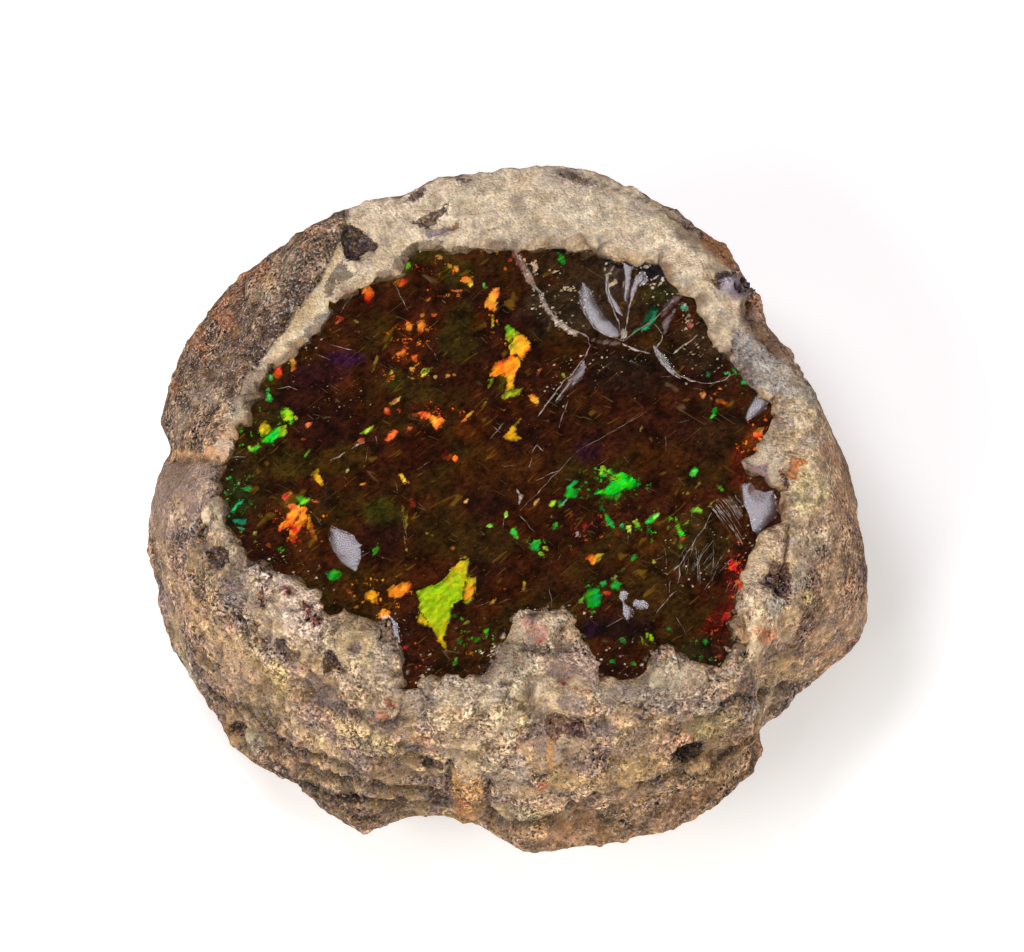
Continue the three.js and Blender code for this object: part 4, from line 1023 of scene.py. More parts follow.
def lowered_glints(points, heights):
    """Tilts the small breaks so that they mirror the soft box towards the camera.

    Gives the heights, and how far each point belongs to a break.
    """
    flat = np.column_stack([points, 0 * heights])
    waves = 0.045 * noise_field(flat, 1.8, 4.2)
    broken = np.zeros(len(points))
    for centre, reach, _, _ in BALLS:
        broken[np.linalg.norm(points - centre, axis=1) < reach] = 0.5
    for outline in GLINTS:
        corners = [spot(place) for place in outline]
        edge_gap = distance_to_line(points, corners + corners[:1])
        chosen = inside(points, corners)
        if not chosen.any():
            continue
        deepest = edge_gap[chosen].max()
        arch = 0.055 / deepest * (deepest - np.minimum(edge_gap, deepest)) ** 2
        fall = points @ np.array([GLINT_NORMAL.x, GLINT_NORMAL.y]) / -GLINT_NORMAL.z + waves - arch
        top = (fall[chosen] - heights[chosen]).max()
        share = smooth(np.where(chosen, edge_gap, -edge_gap), -0.08, 0.02)
        heights += (np.minimum(heights, fall - top) - heights) * share
        broken = np.maximum(broken, share)
    return heights, broken


def bowl_height(x, y):
    u, v = (x - BOWL_MIDDLE[0]) / BOWL_HALF[0], (y - BOWL_MIDDLE[1]) / BOWL_HALF[1]
    return SPLIT_HEIGHT - BOWL_DEPTH * math.sqrt(max(0.08, 1 - u * u - v * v)) - 0.7


def cropped_grid(half_x, half_y, step, outline, middle=(0, 0)):
    """A flat grid of corners step apart, kept where it lies within an outline."""
    bm = bmesh.new()
    bmesh.ops.create_grid(
        bm, x_segments=max(2, round(2 * half_x / step)), y_segments=max(2, round(2 * half_y / step)),
        size=1)
    bmesh.ops.scale(bm, verts=bm.verts, vec=(half_x, half_y, 1))
    bmesh.ops.translate(bm, verts=bm.verts, vec=(*middle, 0))
    kept = inside(np.array([v.co.xy for v in bm.verts]), outline)
    outside = [v for v, keep in zip(bm.verts, kept) if not keep]
    bmesh.ops.delete(bm, geom=outside, context="VERTS")
    bmesh.ops.delete(bm, geom=[v for v in bm.verts if not v.link_faces], context="VERTS")
    return bm


def make_opal():
    bm = cropped_grid(26.4, 24.4, FACE_STEP, OPAL_EDGE_GROWN)
    middles = np.array([(e.verts[0].co.xy + e.verts[1].co.xy) / 2 for e in bm.edges])
    close = np.zeros(len(middles), bool)
    for outline in GLINTS:
        corners = [spot(place) for place in outline]
        close |= inside(middles, corners) | (distance_to_line(middles, corners + corners[:1]) < 0.25)
    finer = [e for e, chosen in zip(bm.edges, close) if chosen]
    bmesh.ops.subdivide_edges(bm, edges=finer, cuts=1, use_grid_fill=True)
    places = np.array([v.co.xy for v in bm.verts])
    heights, broken = lowered_glints(places, np.array([opal_height(x, y) for x, y in places]))
    beyond = distance_to_line(places, OPAL_EDGE + OPAL_EDGE[:1]) * ~inside(places, OPAL_EDGE)
    heights -= 0.5 * smooth(beyond, 0.85, 1.2)
    layer = bm.verts.layers.float.new("broken")
    for v, height, share in zip(bm.verts, heights, broken):
        v.co.z = height
        v[layer] = share
    rim = [e for e in bm.edges if e.is_boundary]
    for narrowing in (1, 0.93, 0.86, 0.75, 0.58):
        made = bmesh.ops.extrude_edge_only(bm, edges=rim)
        for v in (g for g in made["geom"] if isinstance(g, bmesh.types.BMVert)):
            v.co.x *= narrowing
            v.co.y *= narrowing
            v.co.z = bowl_height(v.co.x, v.co.y)
        rim = [g for g in made["geom"] if isinstance(g, bmesh.types.BMEdge) and g.is_boundary]
    bmesh.ops.holes_fill(bm, edges=rim)
    made = piece_from(bm, "opal_filling", precious_opal())
    made.data.shade_smooth()
    made.data.set_sharp_from_angle(angle=math.radians(14))
    settle(made, "opal", "opal_core")


# Fire inside the opal

# The body's colour where it isn't plain brown: place, half width and height, turn, colour, strength. The
# paler greys over the shells are partly haze on their broken faces and partly painted sheen.
BODY = [
    ((460, 332), 25, 27, 0, "#2a2408", 0.75), ((455, 275), 26, 13, 0, "#2f2907", 0.8),
    ((430, 256), 18, 10, 0, "#302a0a", 0.8), ((405, 262), 16, 16, 0, "#2c2a08", 0.7),
    ((346, 358), 20, 6, 5, "#2c1030", 0.9), ((315, 376), 26, 14, 0, "#2c121a", 0.8),
    ((300, 398), 26, 14, 0, "#200c0a", 0.8), ((280, 405), 20, 20, 0, "#2c1410", 0.6),
    ((378, 508), 11, 10, 0, "#1f3a0c", 0.9), ((385, 512), 24, 16, 0, "#33300c", 0.8),
    ((392, 384), 14, 16, 20, "#2c2a0a", 0.8), ((345, 462), 26, 14, -10, "#3a2a08", 0.7),
    ((290, 465), 20, 16, 0, "#30280a", 0.7), ((330, 500), 12, 16, 0, "#1c100c", 0.8),
    ((423, 395), 22, 12, 0, "#33260a", 0.7), ((432, 450), 26, 24, 0, "#260c04", 0.9),
    ((470, 432), 22, 12, 0, "#421d06", 0.8), ((500, 412), 14, 10, 0, "#270b08", 0.7),
    ((490, 472), 50, 26, 0, "#3c1f07", 0.7), ((480, 540), 50, 20, 0, "#30230b", 0.7),
    ((505, 378), 8, 14, 10, "#3c3a08", 0.8), ((545, 350), 26, 30, 0, "#2c1507", 0.6),
    ((587, 448), 14, 13, 0, "#2c1028", 0.7), ((600, 425), 60, 26, 0, "#2c1209", 0.7),
    ((570, 470), 20, 14, 0, "#2c200a", 0.6), ((648, 405), 50, 24, 0, "#33160a", 0.7),
    ((630, 375), 44, 20, 0, "#201410", 0.7), ((600, 300), 50, 40, 0, "#30231b", 0.85),
    ((660, 290), 22, 16, 0, "#242512", 0.8), ((700, 345), 30, 24, 0, "#32261a", 0.7),
    ((555, 265), 40, 14, 10, "#2b1c0a", 0.7), ((722, 425), 24, 34, 0, "#2a1a0b", 0.7),
    ((660, 460), 40, 16, 0, "#3a1f08", 0.7), ((590, 524), 24, 12, 0, "#2b0c0a", 0.8),
    ((650, 550), 30, 16, -20, "#402408", 0.8), ((700, 545), 34, 30, -30, "#33280f", 0.7),
    ((660, 600), 40, 20, 0, "#33220b", 0.8), ((560, 590), 34, 16, 0, "#2b1a08", 0.6),
    ((610, 630), 40, 12, 0, "#1c1010", 0.7), ((590, 630), 12, 8, 0, "#2c1030", 0.6),
    ((520, 610), 30, 14, 0, "#2b1d08", 0.6), ((480, 655), 22, 18, 0, "#301c08", 0.7),
    ((420, 655), 18, 26, 0, "#301409", 0.8), ((560, 310), 16, 40, 20, "#2a1d08", 0.6),
    ((370, 300), 30, 14, 0, "#33130a", 0.7), ((345, 330), 30, 12, 0, "#331c0c", 0.7),
    ((415, 325), 26, 12, 0, "#4a200a", 0.6), ((400, 355), 22, 14, 0, "#481d0a", 0.6),
    ((735, 470), 10, 22, 10, "#4c1a0c", 0.8), ((750, 440), 10, 14, 20, "#5a2a0c", 0.8),
    ((733, 575), 10, 26, 0, "#4a120c", 0.8), ((722, 620), 20, 16, 0, "#4a0f0a", 0.8),
    ((715, 650), 26, 18, 0, "#2c1710", 0.7), ((690, 650), 16, 16, 0, "#20200c", 0.7),
    ((270, 425), 14, 20, 20, "#20240a", 0.6), ((250, 480), 22, 30, -20, "#24210c", 0.6),
    ((237, 505), 14, 26, 0, "#1b2c14", 0.6), ((395, 600), 30, 12, 0, "#42200a", 0.7),
    ((300, 550), 24, 20, 20, "#3a1f0a", 0.6), ((350, 590), 20, 16, 20, "#3c1e0a", 0.6),
    ((652, 264), 16, 18, 0, "#1a1522", 0.95), ((612, 270), 10, 18, 0, "#3a312c", 0.8),
    ((562, 300), 34, 38, -35, "#2f251c", 0.8), ((640, 360), 60, 14, 0, "#1c120c", 0.7),
]

# Where embers glow between the flakes: place, half width and height, turn, colour, how thick
EMBERS = [
    ((440, 275), 50, 26, 10, "#d8541c", 0.7), ((412, 332), 32, 22, 0, "#e0601c", 0.9),
    ((400, 368), 34, 24, 0, "#d85a20", 0.8), ((425, 415), 46, 22, 0, "#d84a1c", 0.8),
    ((500, 330), 26, 40, 0, "#e07a1c", 0.6), ((510, 400), 40, 40, 0, "#b86a18", 0.5),
    ((345, 330), 40, 24, 0, "#a83c14", 0.5), ((300, 520), 36, 30, 0, "#e0641c", 0.9),
    ((470, 480), 60, 30, 0, "#a85018", 0.4), ((262, 430), 30, 34, 0, "#48a81c", 0.8),
    ((238, 500), 22, 32, 0, "#2c8c30", 0.9), ((370, 470), 40, 30, 0, "#7c7c18", 0.4),
    ((610, 485), 50, 26, 0, "#2ca828", 0.8), ((590, 528), 46, 26, 0, "#a8401c", 0.8),
    ((650, 525), 44, 22, 0, "#5cb428", 0.7), ((545, 545), 30, 22, 0, "#3ca024", 0.6),
    ((600, 590), 40, 24, 0, "#2c8c24", 0.7), ((475, 635), 36, 26, 0, "#4c9a20", 0.8),
    ((380, 590), 40, 22, 0, "#d87a1c", 0.8), ((735, 575), 14, 44, 5, "#d82c14", 1.0),
    ((722, 628), 26, 20, 0, "#b8241a", 0.9), ((690, 655), 34, 20, 0, "#2c8c2c", 0.8),
    ((752, 440), 16, 30, 25, "#e05a1c", 1.0), ((715, 395), 24, 16, 0, "#c84c1c", 0.7),
    ((640, 640), 34, 16, 0, "#4c8c2c", 0.6), ((690, 500), 36, 24, 0, "#7c9c24", 0.5),
    ((420, 660), 20, 24, 0, "#b83c1c", 0.7), ((735, 380), 20, 14, 40, "#34a03c", 0.7),
    ((285, 372), 24, 16, -40, "#c8501c", 0.7), ((480, 250), 60, 8, 0, "#a8541c", 0.6),
]

# Where pale dust and crumbs lie thick: place, half width and height, turn, how thick
DUST = [
    ((560, 300), 34, 40, -35, 0.85), ((612, 270), 7, 16, 0, 2.2), ((655, 262), 20, 22, 0, 1.2),
    ((658, 281), 9, 7, 0, 2.6), ((650, 264), 8, 8, 0, 2.2),
    ((636, 347), 9, 3, 8, 2.6), ((560, 275), 12, 16, -35, 1.8),
    ((688, 322), 9, 8, 40, 1.6), ((706, 332), 8, 6, 30, 1.8), ((684, 306), 7, 8, 0, 1.8),
    ((690, 384), 24, 3, 5, 1.4), ((572, 380), 14, 5, -45, 1.4), ((524, 262), 5, 18, -25, 1.6),
    ((550, 315), 10, 5, 55, 1.6),
    ((655, 290), 30, 16, 0, 0.6), ((700, 350), 40, 30, 20, 0.6), ((600, 365), 46, 22, 0, 0.6),
    ((560, 380), 30, 30, 0, 0.5), ((690, 560), 50, 40, 0, 0.45), ((748, 545), 16, 50, 0, 0.7),
    ((755, 600), 20, 40, 0, 0.9), ((300, 360), 40, 20, -30, 0.5), ((340, 400), 40, 30, 0, 0.35),
    ((400, 250), 40, 10, 0, 0.6), ((235, 470), 18, 40, -10, 0.5), ((300, 570), 50, 16, 25, 0.6),
    ((390, 620), 22, 24, 0, 0.7), ((420, 670), 24, 22, 0, 0.8), ((490, 660), 26, 26, 0, 0.8),
    ((560, 612), 50, 10, 0, 0.7), ((620, 660), 34, 20, 0, 0.8), ((700, 665), 40, 14, 0, 0.8),
]

YELLOW, LIME, GOLD = "#e6bc22", "#a8d200", "#c98a1c"

# Flakes with a shape of their own: outline, depth, and colours from one end to the other
SHAPED = [
    # the big yellow-green flame near the front, with a warmer lobe at each side
    ([(468, 555), (470, 562), (467, 570), (468, 574), (476, 575), (477, 585), (475, 597), (468, 603),
        (460, 601), (454, 601), (452, 609), (450, 622), (447, 633), (444, 637), (448, 641), (447, 653),
        (444, 646), (438, 640), (435, 631), (430, 625), (420, 625), (416, 619), (420, 609), (419, 601),
        (417, 590), (428, 586), (446, 578), (450, 569), (456, 563), (460, 558)], 0.4, ["#d8b420",
        "#b4b81a", "#98bc12", "#a0bc14", "#b8b018", "#f0801e"], (468, 556), (446, 653)),
    ([(468, 576), (475, 576), (476, 585), (474, 596), (468, 601), (462, 600), (463, 588)], 0.34,
        ["#b4b41c", "#d89a20", "#e0701c"], (461, 588), (476, 598)),
    ([(417, 619), (421, 610), (427, 618), (429, 624), (421, 624)], 0.34, ["#e89a20", "#b8b41c"],
        (417, 620), (430, 614)),
    # the orange flame right of the middle top
    ([(505, 327), (510, 325), (516, 331), (521, 333), (519, 340), (513, 338), (511, 344), (506, 340)],
        0.5, ["#5ca818", "#98bc20", "#c8b41c"], (507, 326), (518, 342)),
    ([(515, 334), (524, 335), (531, 343), (532, 350), (526, 354), (522, 362), (518, 356), (510, 355),
        (508, 348), (512, 342)], 0.4, ["#d0b428", "#f0a828", "#ff8c24"], (510, 345), (531, 352)),
    ([(489, 377), (491, 370), (495, 362), (500, 361), (505, 358), (512, 354), (519, 358), (521, 364),
        (518, 370), (515, 379), (513, 389), (505, 392), (507, 382), (504, 375), (498, 377)], 0.4,
        ["#e85818", "#ff9420", "#ffa828", "#d8b028"], (491, 368), (514, 386)),
    ([(488, 380), (494, 378), (492, 386), (488, 389)], 0.5, ["#6c8c18", "#8c9420"], (488, 380),
        (492, 388)),
    ([(500, 397), (508, 391), (515, 390), (523, 388), (519, 395), (511, 398), (502, 400)], 0.5,
        ["#b8b41c", "#a8b82a", "#a89c1c"], (522, 388), (501, 399)),
    # the green flake right of the middle, yellow where it meets the light
    ([(597, 473), (601, 466), (604, 465), (606, 469), (610, 467), (613, 473), (623, 472), (629, 476),
        (641, 484), (636, 487), (634, 490), (623, 489), (617, 494), (611, 497), (604, 494), (593, 495),
        (596, 491), (604, 489), (609, 481), (604, 477), (600, 478)], 0.4, ["#b8c424", "#30c42c",
        "#10cc28", "#14d02c", "#0cb424"], (599, 467), (616, 495)),
    ([(603, 471), (609, 474), (617, 479), (612, 481), (606, 476)], 0.34, ["#e8b83c", "#a8d030"],
        (603, 471), (616, 480)),
    ([(598, 492), (612, 490), (622, 494), (617, 500), (606, 500)], 0.5, ["#1c7018", "#4c8c20"],
        (600, 494), (618, 498)),
    # the orange starburst at the left
    ([(288, 505), (296, 503), (302, 506), (303, 512), (298, 520), (291, 527), (280, 532), (279, 528),
        (287, 518), (290, 511)], 0.4, ["#ffa038", "#f06a24", "#e04a1c"], (297, 504), (281, 530)),
    ([(298, 507), (304, 505), (309, 512), (310, 519), (304, 526), (300, 534), (296, 543), (290, 540),
        (291, 530), (296, 520)], 0.45, ["#ff9a30", "#ff7c24", "#c8461a"], (303, 506), (294, 541)),
    ([(304, 506), (309, 509), (312, 517), (316, 528), (319, 543), (314, 538), (308, 527), (303, 516)],
        0.5, ["#ff9c2c", "#c07018", "#8c5414"], (306, 507), (318, 542)),
    ([(281, 493), (292, 491), (294, 494), (288, 500), (290, 506), (284, 500)], 0.3, ["#d8582c",
        "#f08040"], (282, 493), (290, 504)),
    ([(297, 497), (303, 496), (312, 498), (311, 503), (303, 506), (298, 502)], 0.3, ["#48b81a",
        "#98cc30"], (298, 498), (311, 503)),
    ([(311, 499), (319, 500), (327, 503), (320, 504), (313, 503)], 0.3, ["#f08838", "#d8602c"],
        (312, 500), (326, 503)),
    # gold wedges
    ([(501, 439), (509, 431), (517, 420), (524, 410), (520, 421), (516, 428), (517, 435), (522, 438),
        (514, 442)], 0.45, ["#d8981c", "#e0b424", "#e07c1c"], (508, 438), (524, 411)),
    ([(311, 475), (319, 469), (322, 479), (329, 489), (321, 485)], 0.4, ["#c8961c", "#e8b824"],
        (312, 473), (328, 488)),
    # greens at the left
    ([(279, 411), (287, 408), (293, 411), (296, 418), (292, 425), (287, 421), (283, 419)], 0.45,
        ["#30cc1c", "#b0dc20", "#2cc81c"], (281, 409), (293, 424)),
    ([(261, 424), (266, 421), (272, 427), (269, 435), (262, 436), (260, 430)], 0.4, ["#c8a81e",
        "#8cb81c"], (265, 427), (270, 436)),
    ([(262, 439), (270, 433), (278, 427), (286, 425), (289, 431), (286, 437), (278, 439), (270, 444),
        (264, 444)], 0.45, ["#16c430", "#12c828", "#b8c828"], (263, 442), (289, 433)),
    ([(249, 446), (254, 447), (259, 443), (260, 449), (254, 453), (250, 451)], 0.35, ["#a0dc40",
        "#58d030"], (250, 446), (258, 452)),
    # middle and right greens
    ([(563, 495), (567, 487), (573, 479), (578, 481), (573, 487), (579, 492), (575, 498), (567, 498)],
        0.5, ["#28b840", "#10b428"], (575, 480), (570, 497)),
    ([(548, 506), (551, 501), (557, 500), (556, 505), (552, 508)], 0.4, ["#88c828", "#c0e048"],
        (549, 507), (556, 501)),
    ([(582, 594), (590, 588), (599, 588), (602, 595), (599, 605), (593, 609), (587, 606)], 0.6,
        ["#107818", "#14a424", "#0c8c1c"], (584, 590), (598, 606)),
    ([(609, 584), (616, 579), (621, 585), (619, 590), (611, 589)], 0.5, ["#30b428", "#149020"],
        (612, 582), (619, 589)),
    ([(529, 548), (534, 540), (540, 539), (542, 545), (539, 550), (546, 554), (549, 555), (542, 557),
        (535, 551)], 0.4, ["#40cc24", "#1cb428", "#c8c840"], (533, 540), (548, 556)),
    ([(510, 527), (515, 526), (518, 532), (519, 539), (514, 537), (510, 532)], 0.4, ["#58c82c", "#20b434",
        "#a8cc40"], (512, 526), (518, 539)),
    ([(674, 515), (677, 520), (681, 528), (686, 534), (679, 537), (675, 530)], 0.4, ["#58a81c",
        "#40dc1c"], (675, 517), (681, 536)),
    ([(689, 511), (696, 506), (701, 508), (700, 513), (693, 513)], 0.4, ["#549c18", "#a8d838"],
        (690, 512), (700, 508)),
    ([(602, 509), (605, 510), (610, 518), (614, 528), (608, 526), (603, 518)], 0.45, ["#1cb42c",
        "#38cc28"], (603, 510), (612, 528)),
    ([(619, 523), (624, 523), (624, 530), (620, 530)], 0.4, ["#48b468", "#30a83c"], (620, 523),
        (623, 530)),
    ([(625, 526), (630, 525), (631, 531), (627, 532)], 0.4, ["#a8c83c", "#d8d85c"], (625, 526),
        (631, 531)),
    ([(632, 521), (637, 519), (641, 525), (640, 531), (634, 527)], 0.4, ["#b8d840", "#50c82c"],
        (633, 520), (640, 530)),
    ([(644, 522), (650, 515), (659, 512), (658, 517), (650, 524), (645, 526)], 0.45, ["#30b02c",
        "#58c83c", "#a8e070"], (645, 525), (659, 513)),
    ([(646, 528), (651, 526), (649, 535), (646, 540)], 0.5, ["#386c1c", "#30581c"], (648, 527),
        (647, 539)),
    ([(688, 471), (694, 467), (698, 470), (695, 477), (690, 479), (688, 475)], 0.4, ["#10b83c",
        "#50d050"], (689, 470), (694, 478)),
    ([(372, 556), (374, 550), (379, 543), (381, 546), (378, 553)], 0.35, ["#2cb41e", "#70dc30"],
        (373, 556), (380, 544)),
    ([(327, 573), (335, 567), (343, 572), (340, 580), (331, 579)], 0.6, ["#148018", "#22b424"],
        (327, 570), (342, 580)),
    # oranges near the top
    ([(460, 282), (464, 276), (471, 278), (473, 284), (470, 288), (466, 284)], 0.4, ["#ff7c2c", "#ffa838",
        "#d8c840"], (461, 280), (473, 285)),
    ([(479, 279), (483, 280), (488, 288), (484, 289)], 0.35, ["#a8d868", "#2ca838"], (480, 279),
        (487, 289)),
    ([(494, 288), (499, 287), (499, 295), (497, 300), (497, 309), (494, 313), (491, 310), (484, 307),
        (486, 299), (490, 293)], 0.4, ["#f0643c", "#ffb038", "#ff8c2c"], (497, 288), (490, 311)),
    ([(491, 316), (494, 315), (494, 326), (491, 328)], 0.35, ["#e8a82c", "#e8c050"], (492, 316),
        (493, 327)),
    ([(405, 326), (408, 322), (413, 324), (414, 331), (410, 334), (406, 331)], 0.45, ["#ffa030",
        "#d8602c"], (408, 323), (410, 333)),
    ([(416, 330), (418, 322), (423, 319), (426, 324), (424, 332), (419, 334)], 0.45, ["#ffa838",
        "#e8842c", "#b8501c"], (422, 320), (419, 333)),
    ([(391, 360), (397, 353), (401, 350), (403, 345), (406, 347), (406, 356), (402, 360), (400, 355)],
        0.4, ["#e8b068", "#ff7c38", "#f06428"], (392, 360), (405, 350)),
    ([(412, 356), (417, 355), (419, 363), (415, 367)], 0.4, ["#e8581c", "#ff9040"], (413, 356),
        (418, 366)),
    ([(419, 375), (423, 369), (431, 368), (427, 374), (421, 377)], 0.4, ["#a8b830", "#c8d058"],
        (420, 376), (430, 369)),
    ([(390, 372), (392, 369), (395, 374), (395, 379), (391, 378)], 0.35, ["#ffd048", "#e89428"],
        (392, 370), (394, 379)),
    ([(372, 374), (374, 362), (377, 355), (379, 358), (376, 367)], 0.5, ["#6c7820", "#b8942c"],
        (373, 374), (378, 356)),
    ([(409, 367), (415, 368), (414, 373), (410, 372)], 0.35, ["#f08838", "#ffb060"], (409, 368),
        (414, 372)),
    # oranges in the middle
    ([(417, 412), (424, 411), (431, 413), (436, 416), (440, 418), (448, 420), (441, 425), (437, 430),
        (432, 425), (428, 419), (421, 419)], 0.4, ["#d8401c", "#f0602c", "#ff9834", "#ff8430"],
        (418, 413), (446, 424)),
    ([(461, 422), (466, 416), (473, 411), (474, 416), (466, 421)], 0.35, ["#f06c28", "#e8b838"],
        (462, 421), (474, 413)),
    ([(385, 440), (388, 433), (394, 430), (399, 431), (396, 437), (390, 442)], 0.4, ["#ff7038",
        "#f04c20"], (386, 440), (398, 432)),
    ([(389, 404), (394, 400), (402, 395), (400, 401), (393, 405)], 0.3, ["#d8902c", "#f0d080"],
        (390, 404), (402, 396)),
    ([(383, 413), (386, 408), (391, 409), (390, 414), (385, 415)], 0.35, ["#f06838", "#d8502c"],
        (384, 413), (390, 409)),
    ([(356, 443), (361, 438), (368, 438), (365, 443), (359, 445)], 0.35, ["#d8482c", "#f07050"],
        (357, 443), (367, 439)),
    ([(360, 434), (366, 430), (374, 426), (373, 431), (366, 434)], 0.35, ["#a8cc20", "#b8c83c"],
        (361, 433), (374, 427)),
    ([(528, 396), (534, 394), (539, 398), (538, 406), (533, 405)], 0.4, ["#f0742c", "#ff9c34", "#e8c840"],
        (529, 395), (538, 405)),
    ([(452, 459), (455, 455), (459, 458), (456, 463)], 0.35, ["#ff7c24", "#f0581c"], (455, 456),
        (457, 462)),
    ([(440, 455), (447, 451), (453, 455), (449, 461), (442, 459)], 0.6, ["#58180a", "#7c2810"],
        (441, 455), (452, 458)),
    ([(398, 474), (403, 473), (406, 478), (411, 483), (405, 484), (401, 480)], 0.35, ["#ffb838",
        "#f08828"], (399, 474), (410, 483)),
    ([(360, 485), (363, 482), (367, 483), (364, 487)], 0.3, ["#ff9c38", "#f0742c"], (361, 485),
        (366, 483)),
    # along the near edge
    ([(387, 590), (394, 585), (402, 581), (411, 580), (413, 585), (406, 593), (399, 598), (389, 597)],
        0.7, ["#b85a18", "#ff9428", "#c86c1a"], (387, 596), (413, 581)),
    ([(364, 592), (372, 588), (380, 592), (376, 602), (366, 599)], 0.5, ["#f0a81c", "#d88a20"],
        (364, 590), (378, 601)),
    ([(377, 612), (385, 608), (392, 611), (387, 618), (379, 617)], 0.4, ["#f09a24", "#e06a1c"],
        (377, 610), (390, 617)),
    ([(585, 558), (590, 553), (597, 554), (604, 553), (599, 560), (592, 565)], 0.45, ["#e8541c",
        "#f09028", "#90b828"], (586, 558), (604, 554)),
    ([(362, 291), (366, 286), (372, 285), (374, 293), (371, 306), (366, 302), (363, 297)], 0.5,
        ["#e8743c", "#d83c14", "#8c2410"], (368, 286), (370, 305)),
    ([(393, 284), (399, 278), (408, 278), (409, 284), (402, 287), (395, 287)], 0.6, ["#a86418", "#c8441c",
        "#8c2c14"], (394, 282), (409, 283)),
    ([(403, 268), (406, 262), (411, 261), (411, 267), (407, 270)], 0.45, ["#58a820", "#88c838"],
        (404, 268), (411, 262)),
    ([(273, 377), (275, 368), (281, 366), (284, 372), (281, 380), (276, 380)], 0.45, ["#e85828",
        "#d8301c", "#a82014"], (275, 367), (281, 380)),
    ([(267, 379), (270, 374), (274, 377), (272, 381)], 0.35, ["#50dc38", "#30c838"], (268, 379),
        (273, 375)),
    ([(290, 358), (293, 356), (297, 362), (296, 370), (292, 372)], 0.5, ["#c89c28", "#d8641c"],
        (291, 364), (297, 365)),
    ([(264, 396), (268, 393), (274, 398), (272, 403), (266, 401)], 0.4, ["#48c830", "#38a04c"],
        (265, 396), (273, 402)),
    ([(303, 425), (308, 421), (314, 423), (311, 428), (306, 429)], 0.35, ["#f06030", "#ff8448"],
        (304, 424), (313, 427)),
    # teal glint on the third shell, a painted glint in a glowing flake
    ([(629, 338), (634, 330), (643, 326), (650, 318), (653, 309), (659, 306), (656, 320), (648, 328),
        (638, 332)], 0.2, ["#24a070", "#2cb078", "#1c6844"], (630, 337), (657, 308)),
    ([(640, 324), (646, 310), (655, 300), (659, 308), (652, 322)], 0.3, ["#143c24", "#1c6040"],
        (646, 310), (654, 322)),
    ([(232, 512), (236, 505), (243, 500), (244, 503), (238, 510)], 0.35, ["#1cb868", "#20a870"],
        (233, 511), (244, 501)),
    ([(233, 520), (240, 519), (248, 519), (247, 524), (238, 523)], 0.35, ["#20b470", "#1c9c78"],
        (234, 521), (247, 522)),
    # crushed ribbons and crumbs along the cracks of the shells
    ([(512, 246), (521, 252), (529, 268), (536, 284), (534, 292), (525, 279), (517, 266), (511, 254)],
        0.12, ["#6c3c34", "#8c5c50", "#b89880"], (514, 248), (535, 290)),
    ([(541, 291), (548, 305), (558, 317), (569, 327), (580, 332), (577, 337), (566, 333), (554, 323),
        (545, 311), (537, 296)], 0.12, ["#c0a898", "#a08a7c", "#c8b4a4"], (541, 292), (578, 334)),
    ([(531, 261), (536, 259), (538, 268), (535, 275), (532, 270)], 0.08, ["#e0c4a4", "#c8a888"],
        (532, 261), (536, 274)),
    ([(584, 336), (600, 341), (616, 341), (623, 344), (612, 346), (596, 344)], 0.12, ["#5c4a42",
        "#7c6a60"], (585, 337), (622, 345)),
    # the mauve-grey sheen of the two facets beside the teal glint is painted, as dull flakes
    ([(661, 322), (668, 312), (676, 306), (672, 318), (667, 330), (663, 335)], 0.15, ["#6c5c5c",
        "#88747c"], (663, 332), (674, 308)),
    ([(662, 306), (668, 298), (677, 293), (680, 296), (673, 304), (664, 314), (660, 318)], 0.12,
        ["#5c3a3c", "#7c5c60"], (662, 316), (678, 294)),
    ([(584, 360), (587, 372), (578, 383), (568, 389), (560, 402), (555, 406), (561, 391), (570, 378)],
        0.12, ["#94888e", "#5c5048"], (584, 362), (557, 404)),
    ([(622, 327), (628, 331), (627, 338), (622, 340), (619, 334)], 0.12, ["#8c7c74", "#c8b8a8"],
        (621, 328), (625, 339)),
    # red fire along the right edge
    ([(727, 563), (731, 558), (736, 562), (735, 570), (729, 571)], 0.35, ["#f0381c", "#c81c10"],
        (729, 560), (733, 570)),
    ([(732, 580), (738, 577), (744, 581), (743, 588), (736, 589)], 0.35, ["#d82814", "#f0582c"],
        (733, 579), (742, 587)),
    ([(716, 619), (722, 612), (730, 610), (729, 617), (722, 621)], 0.4, ["#b81c10", "#e84028"],
        (717, 618), (729, 612)),
    ([(743, 463), (748, 455), (752, 458), (749, 466), (745, 468)], 0.3, ["#e8481c", "#f07838"],
        (744, 462), (751, 460)),
    ([(752, 433), (757, 425), (763, 424), (761, 431), (755, 436)], 0.25, ["#f0642c", "#f08c40"],
        (753, 432), (762, 427)),
]

